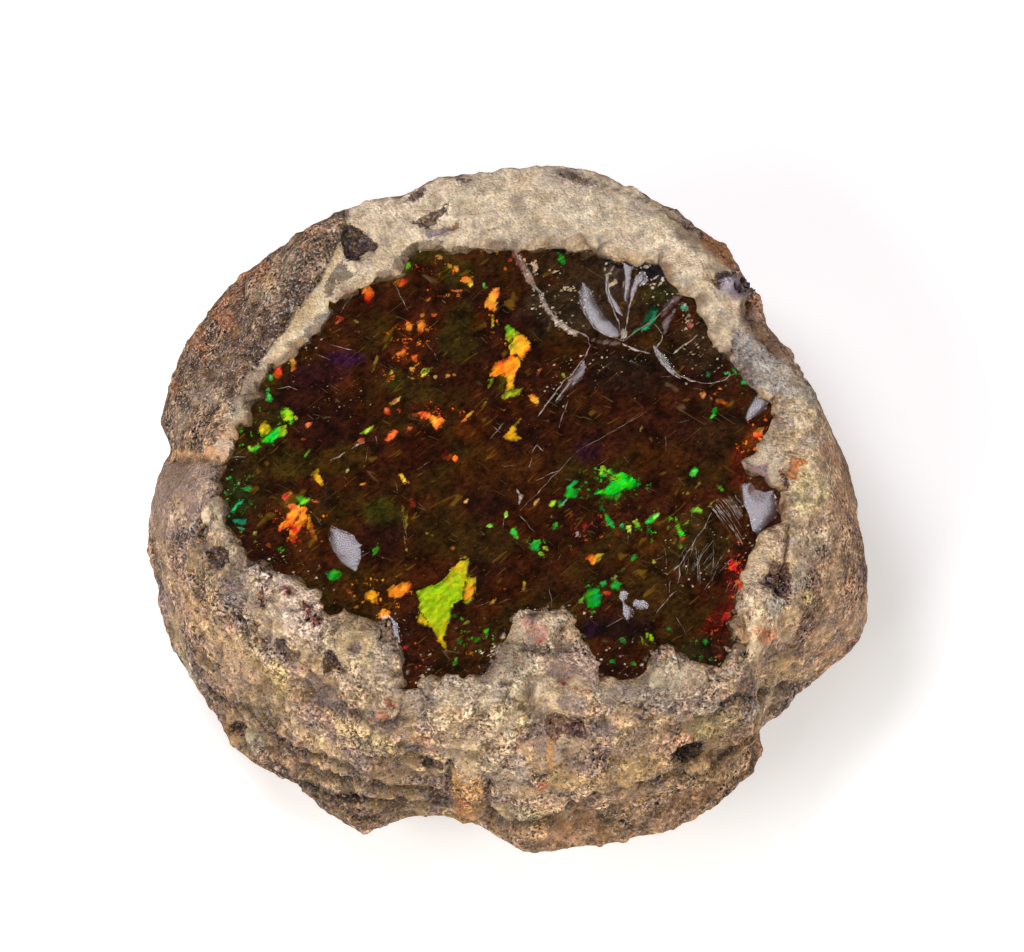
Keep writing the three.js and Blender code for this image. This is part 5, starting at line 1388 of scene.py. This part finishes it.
# Smaller flakes: middle, length, width and turn in pixels and degrees, depth, colour
SMALL = [
    ((561, 256), 15, 8, 60, 0.6, "#2a9c1c"), ((486, 630), 10, 9, 0, 0.5, "#58c818"),
    ((554, 527), 7, 10, 30, 0.4, "#48b42c"), ((506, 515), 4, 9, 10, 0.3, "#a0d050"),
    ((490, 525), 8, 6, 0, 0.35, "#90cc48"), ((633, 557), 12, 7, -40, 0.4, "#24a834"),
    ((603, 583), 7, 7, 40, 0.4, "#1c9c34"), ((719, 488), 9, 6, 40, 0.4, "#5c9c28"),
    ((713, 413), 12, 5, -60, 0.4, "#34c024"), ((679, 546), 5, 9, -40, 0.4, "#588c28"),
    ((524, 584), 11, 3, -70, 0.6, YELLOW), ((466, 501), 8, 4, -20, 0.3, "#e8c060"),
    ((650, 637), 8, 4, 80, 0.5, LIME), ((228, 500), 6, 5, 0, 0.4, "#60c848"),
    ((309, 452), 15, 4, -60, 0.4, "#5c8c2c"), ((253, 475), 16, 4, -50, 0.4, "#4c7c24"),
    ((440, 256), 8, 7, 10, 0.4, "#d8a048"), ((449, 265), 7, 6, 20, 0.4, "#f0b848"),
    ((456, 268), 7, 8, 0, 0.4, "#f08838"), ((448, 294), 6, 6, 0, 0.35, "#ffa858"),
    ((459, 296), 8, 4, 0, 0.35, "#f08840"), ((440, 296), 14, 3, 0, 0.4, "#b84820"),
    ((455, 291), 22, 2, 0, 0.35, "#e07048"), ((430, 300), 8, 4, 0, 0.5, "#b86020"),
    ((434, 315), 6, 4, 0, 0.4, "#d85c2c"), ((422, 315), 5, 5, 0, 0.4, "#e8943c"),
    ((427, 330), 6, 4, 0, 0.4, "#c8742c"),
    ((435, 377), 5, 5, 0, 0.3, "#e8b850"), ((448, 376), 5, 4, 0, 0.3, "#f09850"),
    ((454, 375), 4, 4, 0, 0.3, "#e08840"), ((411, 378), 9, 4, 10, 0.35, "#c8a448"),
    ((387, 345), 20, 3, -50, 0.5, "#8c7020"),
    ((404, 360), 6, 10, 20, 0.5, "#b83818"),
    ((407, 385), 22, 2, -40, 0.35, "#a08c30"), ((425, 372), 20, 2, -30, 0.3, "#8c8428"),
    ((410, 429), 6, 4, 0, 0.35, "#c0482c"), ((423, 426), 4, 3, 0, 0.3, "#d87848"),
    ((415, 415), 10, 6, 10, 0.5, "#a8301a"), ((484, 405), 16, 2, -60, 0.4, "#b07c28"),
    ((321, 440), 5, 4, 0, 0.3, "#c8302c"), ((296, 418), 6, 6, 0, 0.3, "#c8b040"),
    ((340, 318), 10, 5, 10, 0.5, "#9c3818"),
    ((360, 332), 14, 2, 5, 0.35, "#a85040"), ((357, 322), 10, 2, 30, 0.35, "#98803c"),
    ((338, 322), 7, 4, -40, 0.4, "#c86040"), ((304, 440), 5, 4, 0, 0.4, "#a84028"),
    ((268, 390), 4, 4, 0, 0.3, "#38a050"),
    ((257, 533), 5, 5, 0, 0.3, "#a0b040"), ((262, 515), 6, 5, 10, 0.35, "#708c30"),
    ((256, 541), 5, 5, 0, 0.3, "#98b050"), ((243, 528), 8, 3, 10, 0.4, "#58b080"),
    ((348, 470), 8, 2, -60, 0.3, "#b8a060"), ((407, 520), 3, 30, 5, 0.3, "#7c7420"),
    ((406, 545), 3, 26, -8, 0.3, "#b8a840"), ((404, 512), 3, 12, 0, 0.3, "#98882c"),
    ((414, 503), 8, 14, -30, 0.5, "#7c1c18"),
    ((430, 534), 10, 3, 10, 0.3, "#a08428"),
    ((453, 547), 6, 7, 0, 0.4, "#c07828"), ((466, 557), 12, 4, -20, 0.3, "#d8b028"),
    ((536, 502), 10, 4, -45, 0.35, "#d8b060"),
    ((560, 503), 8, 8, -20, 0.5, "#50a024"), ((564, 502), 3, 12, 40, 0.3, "#70c8a0"),
    ((545, 548), 8, 4, 30, 0.4, "#a8b038"), ((551, 515), 8, 3, 70, 0.4, "#889c30"),
    ((572, 525), 5, 12, 20, 0.5, "#6c1c14"), ((584, 527), 6, 14, 10, 0.5, "#a82818"),
    ((577, 533), 7, 9, 0, 0.3, "#c8a8a0"), ((617, 533), 4, 8, -30, 0.4, "#c04820"),
    ((584, 571), 6, 5, 0, 0.5, "#8c1814"),
    ((622, 570), 14, 3, -50, 0.4, "#90943c"), ((614, 577), 8, 3, -60, 0.3, "#b0b060"),
    ((606, 592), 14, 4, 10, 0.4, "#a83018"), ((581, 600), 5, 9, 20, 0.4, "#88a830"),
    ((592, 611), 9, 4, 0, 0.3, "#78c030"), ((653, 562), 5, 4, 60, 0.3, "#c8c040"),
    ((697, 484), 14, 3, -60, 0.35, "#a88838"), ((684, 493), 12, 3, 0, 0.35, "#b09034"),
    ((712, 502), 14, 3, -40, 0.35, "#a09030"), ((687, 522), 12, 2, -30, 0.3, "#90a830"),
    ((671, 542), 10, 3, 10, 0.4, "#906828"), ((682, 538), 5, 3, 0, 0.3, "#d83838"),
    ((600, 507), 5, 10, 0, 0.5, "#2c5c1c"),
    ((618, 503), 5, 4, 0, 0.3, "#988c40"),
    ((640, 430), 20, 2, -60, 0.35, "#907028"),
    ((720, 402), 14, 6, 20, 0.4, "#c84420"), ((710, 398), 7, 5, 20, 0.4, "#f08048"),
    ((703, 395), 6, 8, 20, 0.3, "#c0704c"), ((708, 375), 8, 7, 0, 0.4, "#2c8838"),
    ((735, 372), 10, 5, 40, 0.3, "#48b840"), ((744, 381), 8, 7, 30, 0.3, "#28a83c"),
    ((684, 305), 10, 7, 60, 0.15, "#58a080"), ((690, 322), 8, 7, 40, 0.15, "#b8685c"),
    ((756, 432), 10, 5, -40, 0.3, "#e8501c"), ((747, 449), 6, 8, -50, 0.3, "#c8401c"),
    ((764, 417), 6, 5, 0, 0.3, "#e86c2c"), ((407, 645), 6, 5, 0, 0.3, "#d82a30"),
    ((443, 677), 7, 4, 0, 0.3, GOLD), ((455, 662), 4, 12, 20, 0.4, "#58a830"),
    ((680, 660), 9, 5, -40, 0.4, "#38a020"), ((690, 668), 8, 7, 0, 0.3, "#20a83c"),
    ((703, 640), 10, 5, 60, 0.5, "#2a9820"), ((640, 640), 4, 10, 0, 0.4, "#98b838"),
    ((646, 634), 3, 9, 0, 0.4, "#78b838"), ((668, 628), 9, 4, 40, 0.6, "#2a7840"),
    ((612, 660), 6, 5, 0, 0.5, "#3c8c28"), ((632, 662), 7, 6, 0, 0.4, "#48a02c"),
    ((622, 640), 8, 5, 30, 0.5, "#306c28"), ((700, 655), 7, 7, 0, 0.4, "#40a830"),
    ((706, 668), 6, 5, 0, 0.3, "#a0b83c"), ((716, 655), 9, 7, 0, 0.4, "#983020"),
    ((728, 648), 10, 7, -20, 0.3, "#b02818"), ((737, 602), 6, 12, 10, 0.35, "#b82414"),
    ((741, 572), 7, 10, 0, 0.3, "#c83020"),
    ((712, 596), 6, 5, 0, 0.4, "#287028"),
    ((478, 638), 9, 6, 0, 0.6, "#2c7c1c"), ((455, 615), 6, 4, 0, 0.4, "#2c7c1c"),
    ((465, 622), 12, 4, -30, 0.4, "#90942c"), ((493, 600), 10, 4, -40, 0.4, "#a87c24"),
    ((505, 588), 6, 4, 0, 0.3, "#c86820"), ((470, 652), 8, 5, 0, 0.4, "#c8641c"),
    ((460, 640), 6, 5, 0, 0.4, "#3c9028"),
    ((350, 590), 8, 5, 0, 0.5, "#a85c1c"),
    ((356, 606), 8, 4, 0, 0.4, "#c07c24"),
    ((283, 549), 8, 5, 20, 0.4, "#3c8c20"),
    ((270, 545), 5, 5, 0, 0.4, "#a04c18"),
    ((463, 240), 12, 4, 20, 0.5, "#8c2c14"),
    ((497, 251), 8, 4, 0, 0.4, "#98a830"),
    ((510, 260), 5, 4, 0, 0.3, "#b83c28"), ((505, 268), 4, 4, 0, 0.3, "#d8602c"),
    ((563, 376), 6, 5, 20, 0.3, "#98b02c"), ((539, 372), 4, 12, 30, 0.4, "#a04420"),
]


def through_opal(place, depth):
    """Where a point at a depth must lie so that it shows at a pixel, bent by the opal's face."""
    x, y = spot(place)
    return x, y + depth * INSIDE_SLANT


def seen_level(places, depth):
    """The points of the opal's face at which places at a depth are seen."""
    return np.column_stack([places[:, 0], places[:, 1] - depth * INSIDE_SLANT,
                            np.full(len(places), OPAL_FACE)])


def body_colours(points):
    """Colour of the opal's body at places in pixels, patchy as its mosaic of grown domains."""
    flat = np.column_stack([points, np.zeros(len(points))])
    u, v, w = (noise_field(flat, size, seed) for size, seed in ((70, 1.7), (42, 9.3), (18, 4.4)))
    colours = mixed(["#331606", "#2e1f07", "#26100a", "#38190a"], u + 0.3 * w, v + 0.3 * w)
    for place, half_width, half_height, turn, code, strength in BODY:
        away = ellipse_share(points, place, half_width, half_height, turn)
        share = smooth(1.15 + 0.35 * v + 0.45 * w - away, 0, 0.45)[:, None] * strength
        colours = colours * (1 - share) + np.array(linear(code)) * share
    dust = np.full(len(points), 0.12)
    for place, half_width, half_height, turn, strength in DUST:
        away = ellipse_share(points, place, half_width, half_height, turn)
        dust = np.maximum(dust, strength * smooth(1.2 + 0.3 * w - away, 0, 0.6))
    return np.column_stack([0.85 * colours, dust])


def ember_colours(points):
    """Colour of the embers at places in pixels, and in the fourth column how thick they lie."""
    w = noise_field(np.column_stack([points, np.zeros(len(points))]), 14, 8.1)
    colours, thick = np.tile(np.array(linear("#8c4a18")), (len(points), 1)), np.full(len(points), 0.1)
    for place, half_width, half_height, turn, code, strength in EMBERS:
        away = ellipse_share(points, place, half_width, half_height, turn)
        share = smooth(1.2 + 0.5 * w - away, 0, 0.6)
        colours += (np.array(linear(code)) - colours) * share[:, None]
        thick = np.maximum(thick, strength * share)
    return np.column_stack([colours, thick])


def gradient(codes, shares):
    """Colours along a row of stops at shares from 0 to 1."""
    stops = np.array([linear(code) for code in codes])
    at = np.clip(shares, 0, 1) * (len(stops) - 1)
    return np.stack([np.interp(at, range(len(stops)), stops[:, i]) for i in range(3)], 1)


def splinter(middle, length, width, turn, rng):
    """A small flake's outline in pixels: seven to ten uneven corners round its middle."""
    turn = math.radians(turn)
    corners = []
    count = rng.randint(7, 10)
    for i in range(count):
        around = 2 * math.pi * (i + rng.uniform(-0.3, 0.3)) / count
        reach = rng.uniform(0.6, 1.15)
        u, v = reach * length * math.cos(around) / 2, reach * width * math.sin(around) / 2
        corners.append((middle[0] + u * math.cos(turn) - v * math.sin(turn),
                        middle[1] + u * math.sin(turn) + v * math.cos(turn)))
    return corners


def lowest_face(x, y):
    """Lowest the opal's face comes near a place, so that a flake never breaks through it."""
    return min(opal_height(x + dx, y + dy) for dx in (-0.25, 0.25) for dy in (-0.25, 0.25))


def coloured(bm, columns):
    """Writes named colours, a row of four numbers for each corner point, into a plate."""
    for name, values in columns.items():
        layer = bm.verts.layers.float_color.new(name)
        for v, value in zip(bm.verts, values.tolist()):
            v[layer] = value


def plate_over(corners):
    """A flat plate 0.14 mm larger than an outline, its points and how far inside it they lie."""
    if sum(a[0] * b[1] - b[0] * a[1] for a, b in zip(corners, corners[1:] + corners[:1])) < 0:
        corners.reverse()
    low, high = np.min(corners, axis=0) - 0.3, np.max(corners, axis=0) + 0.3
    half, middle = (high - low) / 2, (high + low) / 2
    plate = cropped_grid(*half, 0.14 if max(half) < 1.5 else 0.18, grown(corners, 0.14), middle)
    places = np.array([v.co.xy for v in plate.verts]).reshape(-1, 2)
    gap = distance_to_line(places, corners + corners[:1])
    gap[~inside(places, corners)] *= -1
    return plate, places, gap


def join_plate(bm, plate):
    mesh = mesh_from(plate, "plate")
    bm.from_mesh(mesh)
    bpy.data.meshes.remove(mesh)


def add_flake(bm, outline, depth, codes, start, end):
    """One thin plate in the opal that runs out raggedly at its outline, coloured start to end."""
    plate, places, gap = plate_over([through_opal(place, depth) for place in outline])
    if not len(places):
        plate.free()
        return
    level = seen_level(places, depth)
    pixels = pixel_of(level)
    along = np.array(end, float) - np.array(start, float)
    shares = (pixels - np.array(start, float)) @ along / max(along @ along, 1)
    flakes = np.column_stack([
        gradient(codes, shares + 0.16 * noise_field(level, 0.8, depth)),
        np.clip(0.5 + gap / 0.36, 0, 2)])
    coloured(plate, {"body_colour": body_colours(pixels), "ember_colour": ember_colours(pixels),
                     "flake_colour": flakes})
    for v in plate.verts:
        x, y = v.co.xy
        v.co.z = lowest_face(x, y) - depth + 0.05 * flat_noise(x, y, 0.9, 2 + depth)
    thicken(plate, FLAKE_THICKNESS)
    join_plate(bm, plate)


def make_fire():
    """The flakes, and the mosaic of domains that they lie in, as thin plates inside the opal."""
    fiery = fire()
    rng = random.Random(41)
    bm = bmesh.new()
    for outline, depth, codes, start, end in SHAPED:
        add_flake(bm, outline, depth, codes, start, end)
    for middle, length, width, turn, depth, code in SMALL:
        outline = splinter(middle, length, width, turn, rng)
        start = (middle[0] - length / 2, middle[1] - width / 2)
        end = (middle[0] + length / 2, middle[1] + width / 2)
        add_flake(bm, outline, depth, [code, code], start, end)
    settle(piece_from(bm, "fire_flakes", fiery), "opal")

    bm = cropped_grid(26.2, 24.2, DOMAIN_STEP, grown(OPAL_EDGE, 1.0))
    places = np.array([v.co.xy for v in bm.verts])
    pixels = pixel_of(seen_level(places, DOMAIN_DEPTH))
    coloured(bm, {"body_colour": body_colours(pixels), "ember_colour": ember_colours(pixels),
                  "flake_colour": np.zeros((len(places), 4))})
    inland = distance_to_line(places, OPAL_EDGE + OPAL_EDGE[:1]) * inside(places, OPAL_EDGE)
    for v, sinking in zip(bm.verts, 0.45 + 0.55 * smooth(inland, 0, 1.6)):
        x, y = v.co.xy
        near = noise.voronoi((x / 5, y / 5, 0.3))[1][0]
        step = noise.cell(near * 7.31)
        v.co.z = lowest_face(x, y) - sinking * (DOMAIN_DEPTH - 0.5 * step) + 0.12 * flat_noise(x, y, 3, 6)
    thicken(bm, DOMAIN_THICKNESS)
    made = piece_from(bm, "fire_domains", fiery)
    made.data.shade_smooth()
    settle(made, "opal")


# Scraps of rock left on the opal along its edge: outline in pixels, thickness in mm, colour
SCRAPS = [
    ([(509, 617), (519, 609), (530, 607), (541, 611), (551, 609), (567, 609), (574, 614), (567, 620),
        (555, 619), (551, 632), (540, 636), (528, 628), (516, 622)], 0.35, "#b8a084"),
    ([(497, 660), (494, 648), (500, 638), (510, 644), (516, 654), (512, 664)], 0.45, "#8a7660"),
    ([(758, 548), (752, 562), (746, 574), (739, 590), (744, 600), (753, 594), (762, 575)], 0.45,
        "#cfb48e"),
    ([(739, 600), (746, 606), (750, 618), (757, 634), (746, 633), (742, 618)], 0.4, "#c8ae88"),
    ([(722, 644), (735, 646), (742, 655), (735, 661), (729, 654)], 0.4, "#b89a76"),
    ([(660, 655), (668, 648), (677, 652), (680, 664), (668, 668)], 0.4, "#a89272"),
    ([(386, 642), (396, 650), (402, 668), (398, 684), (388, 676), (384, 658)], 0.4, "#a89070"),
]


def make_scraps(stone):
    """Scraps and crumbs of rock on the opal's edge, which make the line between the two ragged."""
    rng = random.Random(23)
    palette = ["#a08a6e", "#6e5a4a", "#4a382c", "#2e2018"]
    rows = list(SCRAPS)
    rim = [pixel_of(np.array([[x, y, OPAL_FACE]]))[0] for x, y in OPAL_EDGE]
    for here, ahead in zip(rim, rim[1:] + rim[:1]):
        for share in np.arange(0.1, 1, 6 / max(6, math.dist(here, ahead))):
            place = here + (ahead - here) * share + (rng.gauss(0, 3), rng.gauss(0, 3))
            length, width = rng.uniform(3, 10), rng.uniform(2, 6)
            outline = splinter(place, length, width, rng.uniform(0, 180), rng)
            if place[1] > 600 and rng.random() < 0.6:
                rows.append((outline, 0.06 * width, rng.choice(palette)))
    bm = bmesh.new()
    for outline, thickness, code in rows:
        plate, places, gap = plate_over([spot(place, OPAL_FACE + thickness / 2) for place in outline])
        if not len(places):
            plate.free()
            continue
        flat = np.column_stack([places, np.full(len(places), OPAL_FACE)])
        small, tiny = noise_field(flat, 1.1, 5.5), noise_field(flat, 0.5, 2.5)
        gap = gap + 0.25 * tiny
        tones = np.ones((len(places), 4))
        tones[:, :3] = np.array(linear(code)) * (1 + 0.6 * small + 0.6 * tiny)[:, None]
        coloured(plate, {"stone_tone": tones, "stone_patch": 0 * tones,
                         "stone_parts": np.tile((0.5, 0.4, 0, 1), (len(places), 1))})
        rise = smooth(gap, -0.15, 0.4) + 0.4 * small + 0.4 * tiny
        for v, height in zip(plate.verts, thickness * rise - 0.1):
            v.co.z = opal_height(*v.co.xy) + height
        thicken(plate, SCRAP_THICKNESS)
        join_plate(bm, plate)
    made = piece_from(bm, "rim_scraps", stone)
    made.data.shade_smooth()
    settle(made, "rhyolite")


# Bruised edges and cracks of the opal: corners in pixels and half width in millimetres
CRACKS = [
    ([(513, 249), (523, 262), (531, 280), (539, 294), (547, 307), (556, 319), (565, 326), (575, 331),
        (583, 334), (588, 338), (590, 346)], 0.08),
    ([(516, 254), (528, 270), (536, 286), (546, 302)], 0.06),
    ([(590, 346), (585, 356), (578, 366), (571, 376), (562, 383), (552, 398), (545, 406), (538, 417)],
        0.08),
    ([(571, 380), (566, 388), (561, 394), (555, 402)], 0.09),
    ([(568, 400), (565, 408), (562, 418), (559, 428)], 0.06),
    ([(653, 345), (655, 351), (662, 364), (671, 374), (680, 379)], 0.1),
    ([(658, 352), (666, 364), (676, 374), (690, 381), (705, 384), (720, 382), (733, 374)], 0.08),
    ([(624, 341), (617, 318), (611, 300), (607, 286), (608, 272), (614, 262)], 0.08),
    ([(624, 340), (627, 320), (630, 300), (637, 284), (645, 272)], 0.07),
    ([(624, 341), (607, 336), (594, 327), (585, 312), (579, 296)], 0.06),
    ([(624, 341), (634, 333), (646, 324), (655, 317), (664, 308), (674, 298)], 0.05),
    ([(655, 322), (662, 333), (661, 340), (654, 350)], 0.07),
    ([(622, 343), (632, 349), (640, 352), (650, 354)], 0.1),
    ([(672, 353), (682, 345), (690, 339), (698, 332)], 0.07),
    ([(521, 262), (526, 278), (531, 284)], 0.08),
    ([(504, 423), (497, 431), (490, 439)], 0.07), ([(494, 427), (500, 433)], 0.05),
    ([(531, 454), (537, 446), (543, 451)], 0.07), ([(532, 458), (529, 467)], 0.1),
    ([(517, 489), (521, 496), (519, 504)], 0.16),
    ([(579, 450), (550, 480), (519, 511)], 0.025), ([(519, 514), (527, 523), (535, 533)], 0.025),
    ([(646, 412), (612, 432), (580, 450)], 0.02), ([(536, 481), (552, 473), (562, 470)], 0.025),
    ([(710, 513), (703, 526), (695, 539), (686, 552), (678, 564), (671, 572)], 0.05),
    ([(694, 545), (696, 560), (697, 580)], 0.04), ([(678, 566), (679, 574), (677, 582)], 0.12),
    ([(662, 572), (667, 574)], 0.08), ([(712, 540), (700, 556), (690, 572)], 0.025),
    ([(675, 590), (664, 600), (655, 612)], 0.03), ([(669, 580), (668, 592)], 0.03),
    ([(724, 520), (732, 530), (738, 545)], 0.03), ([(735, 535), (741, 543)], 0.06),
    ([(330, 345), (346, 349), (356, 351)], 0.03), ([(316, 354), (330, 360)], 0.03),
    ([(278, 389), (290, 387), (298, 390)], 0.06), ([(232, 457), (248, 457)], 0.05),
    ([(395, 284), (402, 300), (409, 311)], 0.03), ([(425, 343), (434, 352), (438, 362)], 0.02),
    ([(352, 449), (360, 445), (366, 441)], 0.09), ([(331, 460), (340, 457), (346, 452)], 0.08),
    ([(376, 436), (378, 444)], 0.07), ([(488, 300), (491, 297)], 0.03),
]


def hackles():
    """Fine plumes of splintering, in fans of thin lines: corners in pixels and half width."""
    rng = random.Random(7)
    lines = []
    for i in range(22):
        x, y = 708 + 1.2 * i + rng.uniform(-2, 2), 505 - 0.5 * i + rng.uniform(-3, 3)
        reach = min(rng.uniform(12, 34), 1.2 * (742 - x))
        lines.append(([(x, y), (x + 0.45 * reach, y + 0.55 * reach), (x + 0.8 * reach, y + 1.1 * reach)],
                      0.022))
    for i in range(26):
        x, y = 684 + 2.2 * i + rng.uniform(-6, 6), 545 + 0.9 * i + rng.uniform(-14, 14)
        reach = rng.uniform(8, 26)
        lean = rng.uniform(-0.9, 0.2)
        lines.append(([(x, y), (x + lean * reach, y + reach)], 0.02))
    for i in range(30):
        x, y = rng.uniform(300, 700), rng.uniform(290, 620)
        reach, turn = rng.uniform(6, 26), rng.uniform(0, math.pi)
        lines.append(([(x, y), (x + reach * math.cos(turn), y + 0.8 * reach * math.sin(turn))], 0.02))
    return lines


def make_cracks():
    curve = bpy.data.curves.new("bruised_edges", "CURVE")
    curve.dimensions = "3D"
    curve.bevel_depth = 1
    curve.bevel_resolution = 1
    curve.use_fill_caps = True
    for line, half_width in CRACKS + hackles():
        spline = curve.splines.new("POLY")
        fine = []
        for a, b in zip(line, line[1:]):
            steps = max(1, round(math.dist(a, b) / 2.5))
            fine += [tuple(np.array(a) + (np.array(b) - np.array(a)) * i / steps) for i in range(steps)]
        fine.append(line[-1])
        spline.points.add(len(fine) - 1)
        for i, (point, place) in enumerate(zip(spline.points, fine)):
            x, y = spot(place)
            x += 0.12 * flat_noise(x, y, 0.7, 9)
            y += 0.12 * flat_noise(x, y, 0.7, 19)
            point.co = (x * MM, y * MM, (opal_height(x, y) + 0.01) * MM, 1)
            swell = 0.25 + 1.9 * abs(flat_noise(x, y, 0.5, 4))
            ends = min(1, 0.3 + i / 3, 0.3 + (len(fine) - 1 - i) / 3)
            point.radius = half_width * MM * swell * ends
    drawn = new_object("bruised_edges_source", curve)
    bpy.context.view_layer.update()
    mesh = bpy.data.meshes.new_from_object(drawn.evaluated_get(bpy.context.evaluated_depsgraph_get()))
    bpy.data.objects.remove(drawn)
    mesh.name = "bruised_edges"
    mesh.materials.clear()
    mesh.materials.append(bruised_opal())
    settle(new_object("bruised_edges", mesh), "opal")


# Stage


def make_stage():
    bm = bmesh.new()
    bmesh.ops.create_grid(bm, x_segments=1, y_segments=1, size=3)
    floor = new_object("floor", mesh_from(bm, "floor"))
    floor.location.z = -0.0002
    made, tree = new_material("white_paper")
    paper = add(tree, "BsdfPrincipled", {"Base Color": rgba("#f7f6f4"), "Roughness": 0.9,
        "Specular IOR Level": 0.1, "Emission Color": (1, 1, 1, 1), "Emission Strength": 0.3})
    finish_material(tree, paper)
    floor.data.materials.append(made)

    world = bpy.data.worlds.new("studio")
    bpy.context.scene.world = world
    world.use_nodes = True
    world.node_tree.nodes["Background"].inputs["Color"].default_value = (1, 0.86, 0.7, 1)
    world.node_tree.nodes["Background"].inputs["Strength"].default_value = 0.08


def soft_box(name, toward, distance, size, radiance, tint=(1, 1, 1)):
    """A square soft box that faces the object from a direction, as bright as a radiance."""
    lamp = bpy.data.lights.new(name, "AREA")
    lamp.shape = "SQUARE"
    lamp.size = size
    lamp.energy = radiance * math.pi * size * size
    lamp.color = tint
    made = new_object(name, lamp)
    direction = Vector(toward).normalized()
    middle = Vector((0, 0, 0.018))
    made.location = middle + direction * distance
    made.rotation_mode = "QUATERNION"
    made.rotation_quaternion = direction.to_track_quat("Z", "Y")
    return made


def make_camera():
    lens, sensor, frame_px = 600, 36, 1024
    camera = bpy.data.cameras.new("camera")
    camera.lens = lens
    camera.sensor_width = sensor
    camera.clip_start, camera.clip_end = 0.05, 20
    made = new_object("camera", camera)
    distance = lens / sensor * frame_px / PX_PER_MM * MM
    aim = Vector((0.35, 1.07, 20)) * MM
    back = Vector(TOWARD_CAMERA)
    made.location = aim + back * distance
    made.rotation_mode = "QUATERNION"
    made.rotation_quaternion = (-back).to_track_quat("-Z", "Y")
    bpy.context.scene.camera = made


def make_lights():
    soft_box("box_above", SOFT_BOX, 0.42, 0.14, 13.9, (0.94, 0.9, 1.0))
    soft_box("box_left", (-0.62, -0.55, 0.62), 0.5, 0.34, 5.2)
    soft_box("box_right", (0.7, -0.45, 0.5), 0.5, 0.34, 4)


make_camera()
make_stage()
make_lights()
rock_stone = rhyolite()
make_rock(rock_stone)
make_opal()
make_fire()
make_scraps(rock_stone)
make_cracks()
bpy.context.scene.view_settings.view_transform = "Standard"
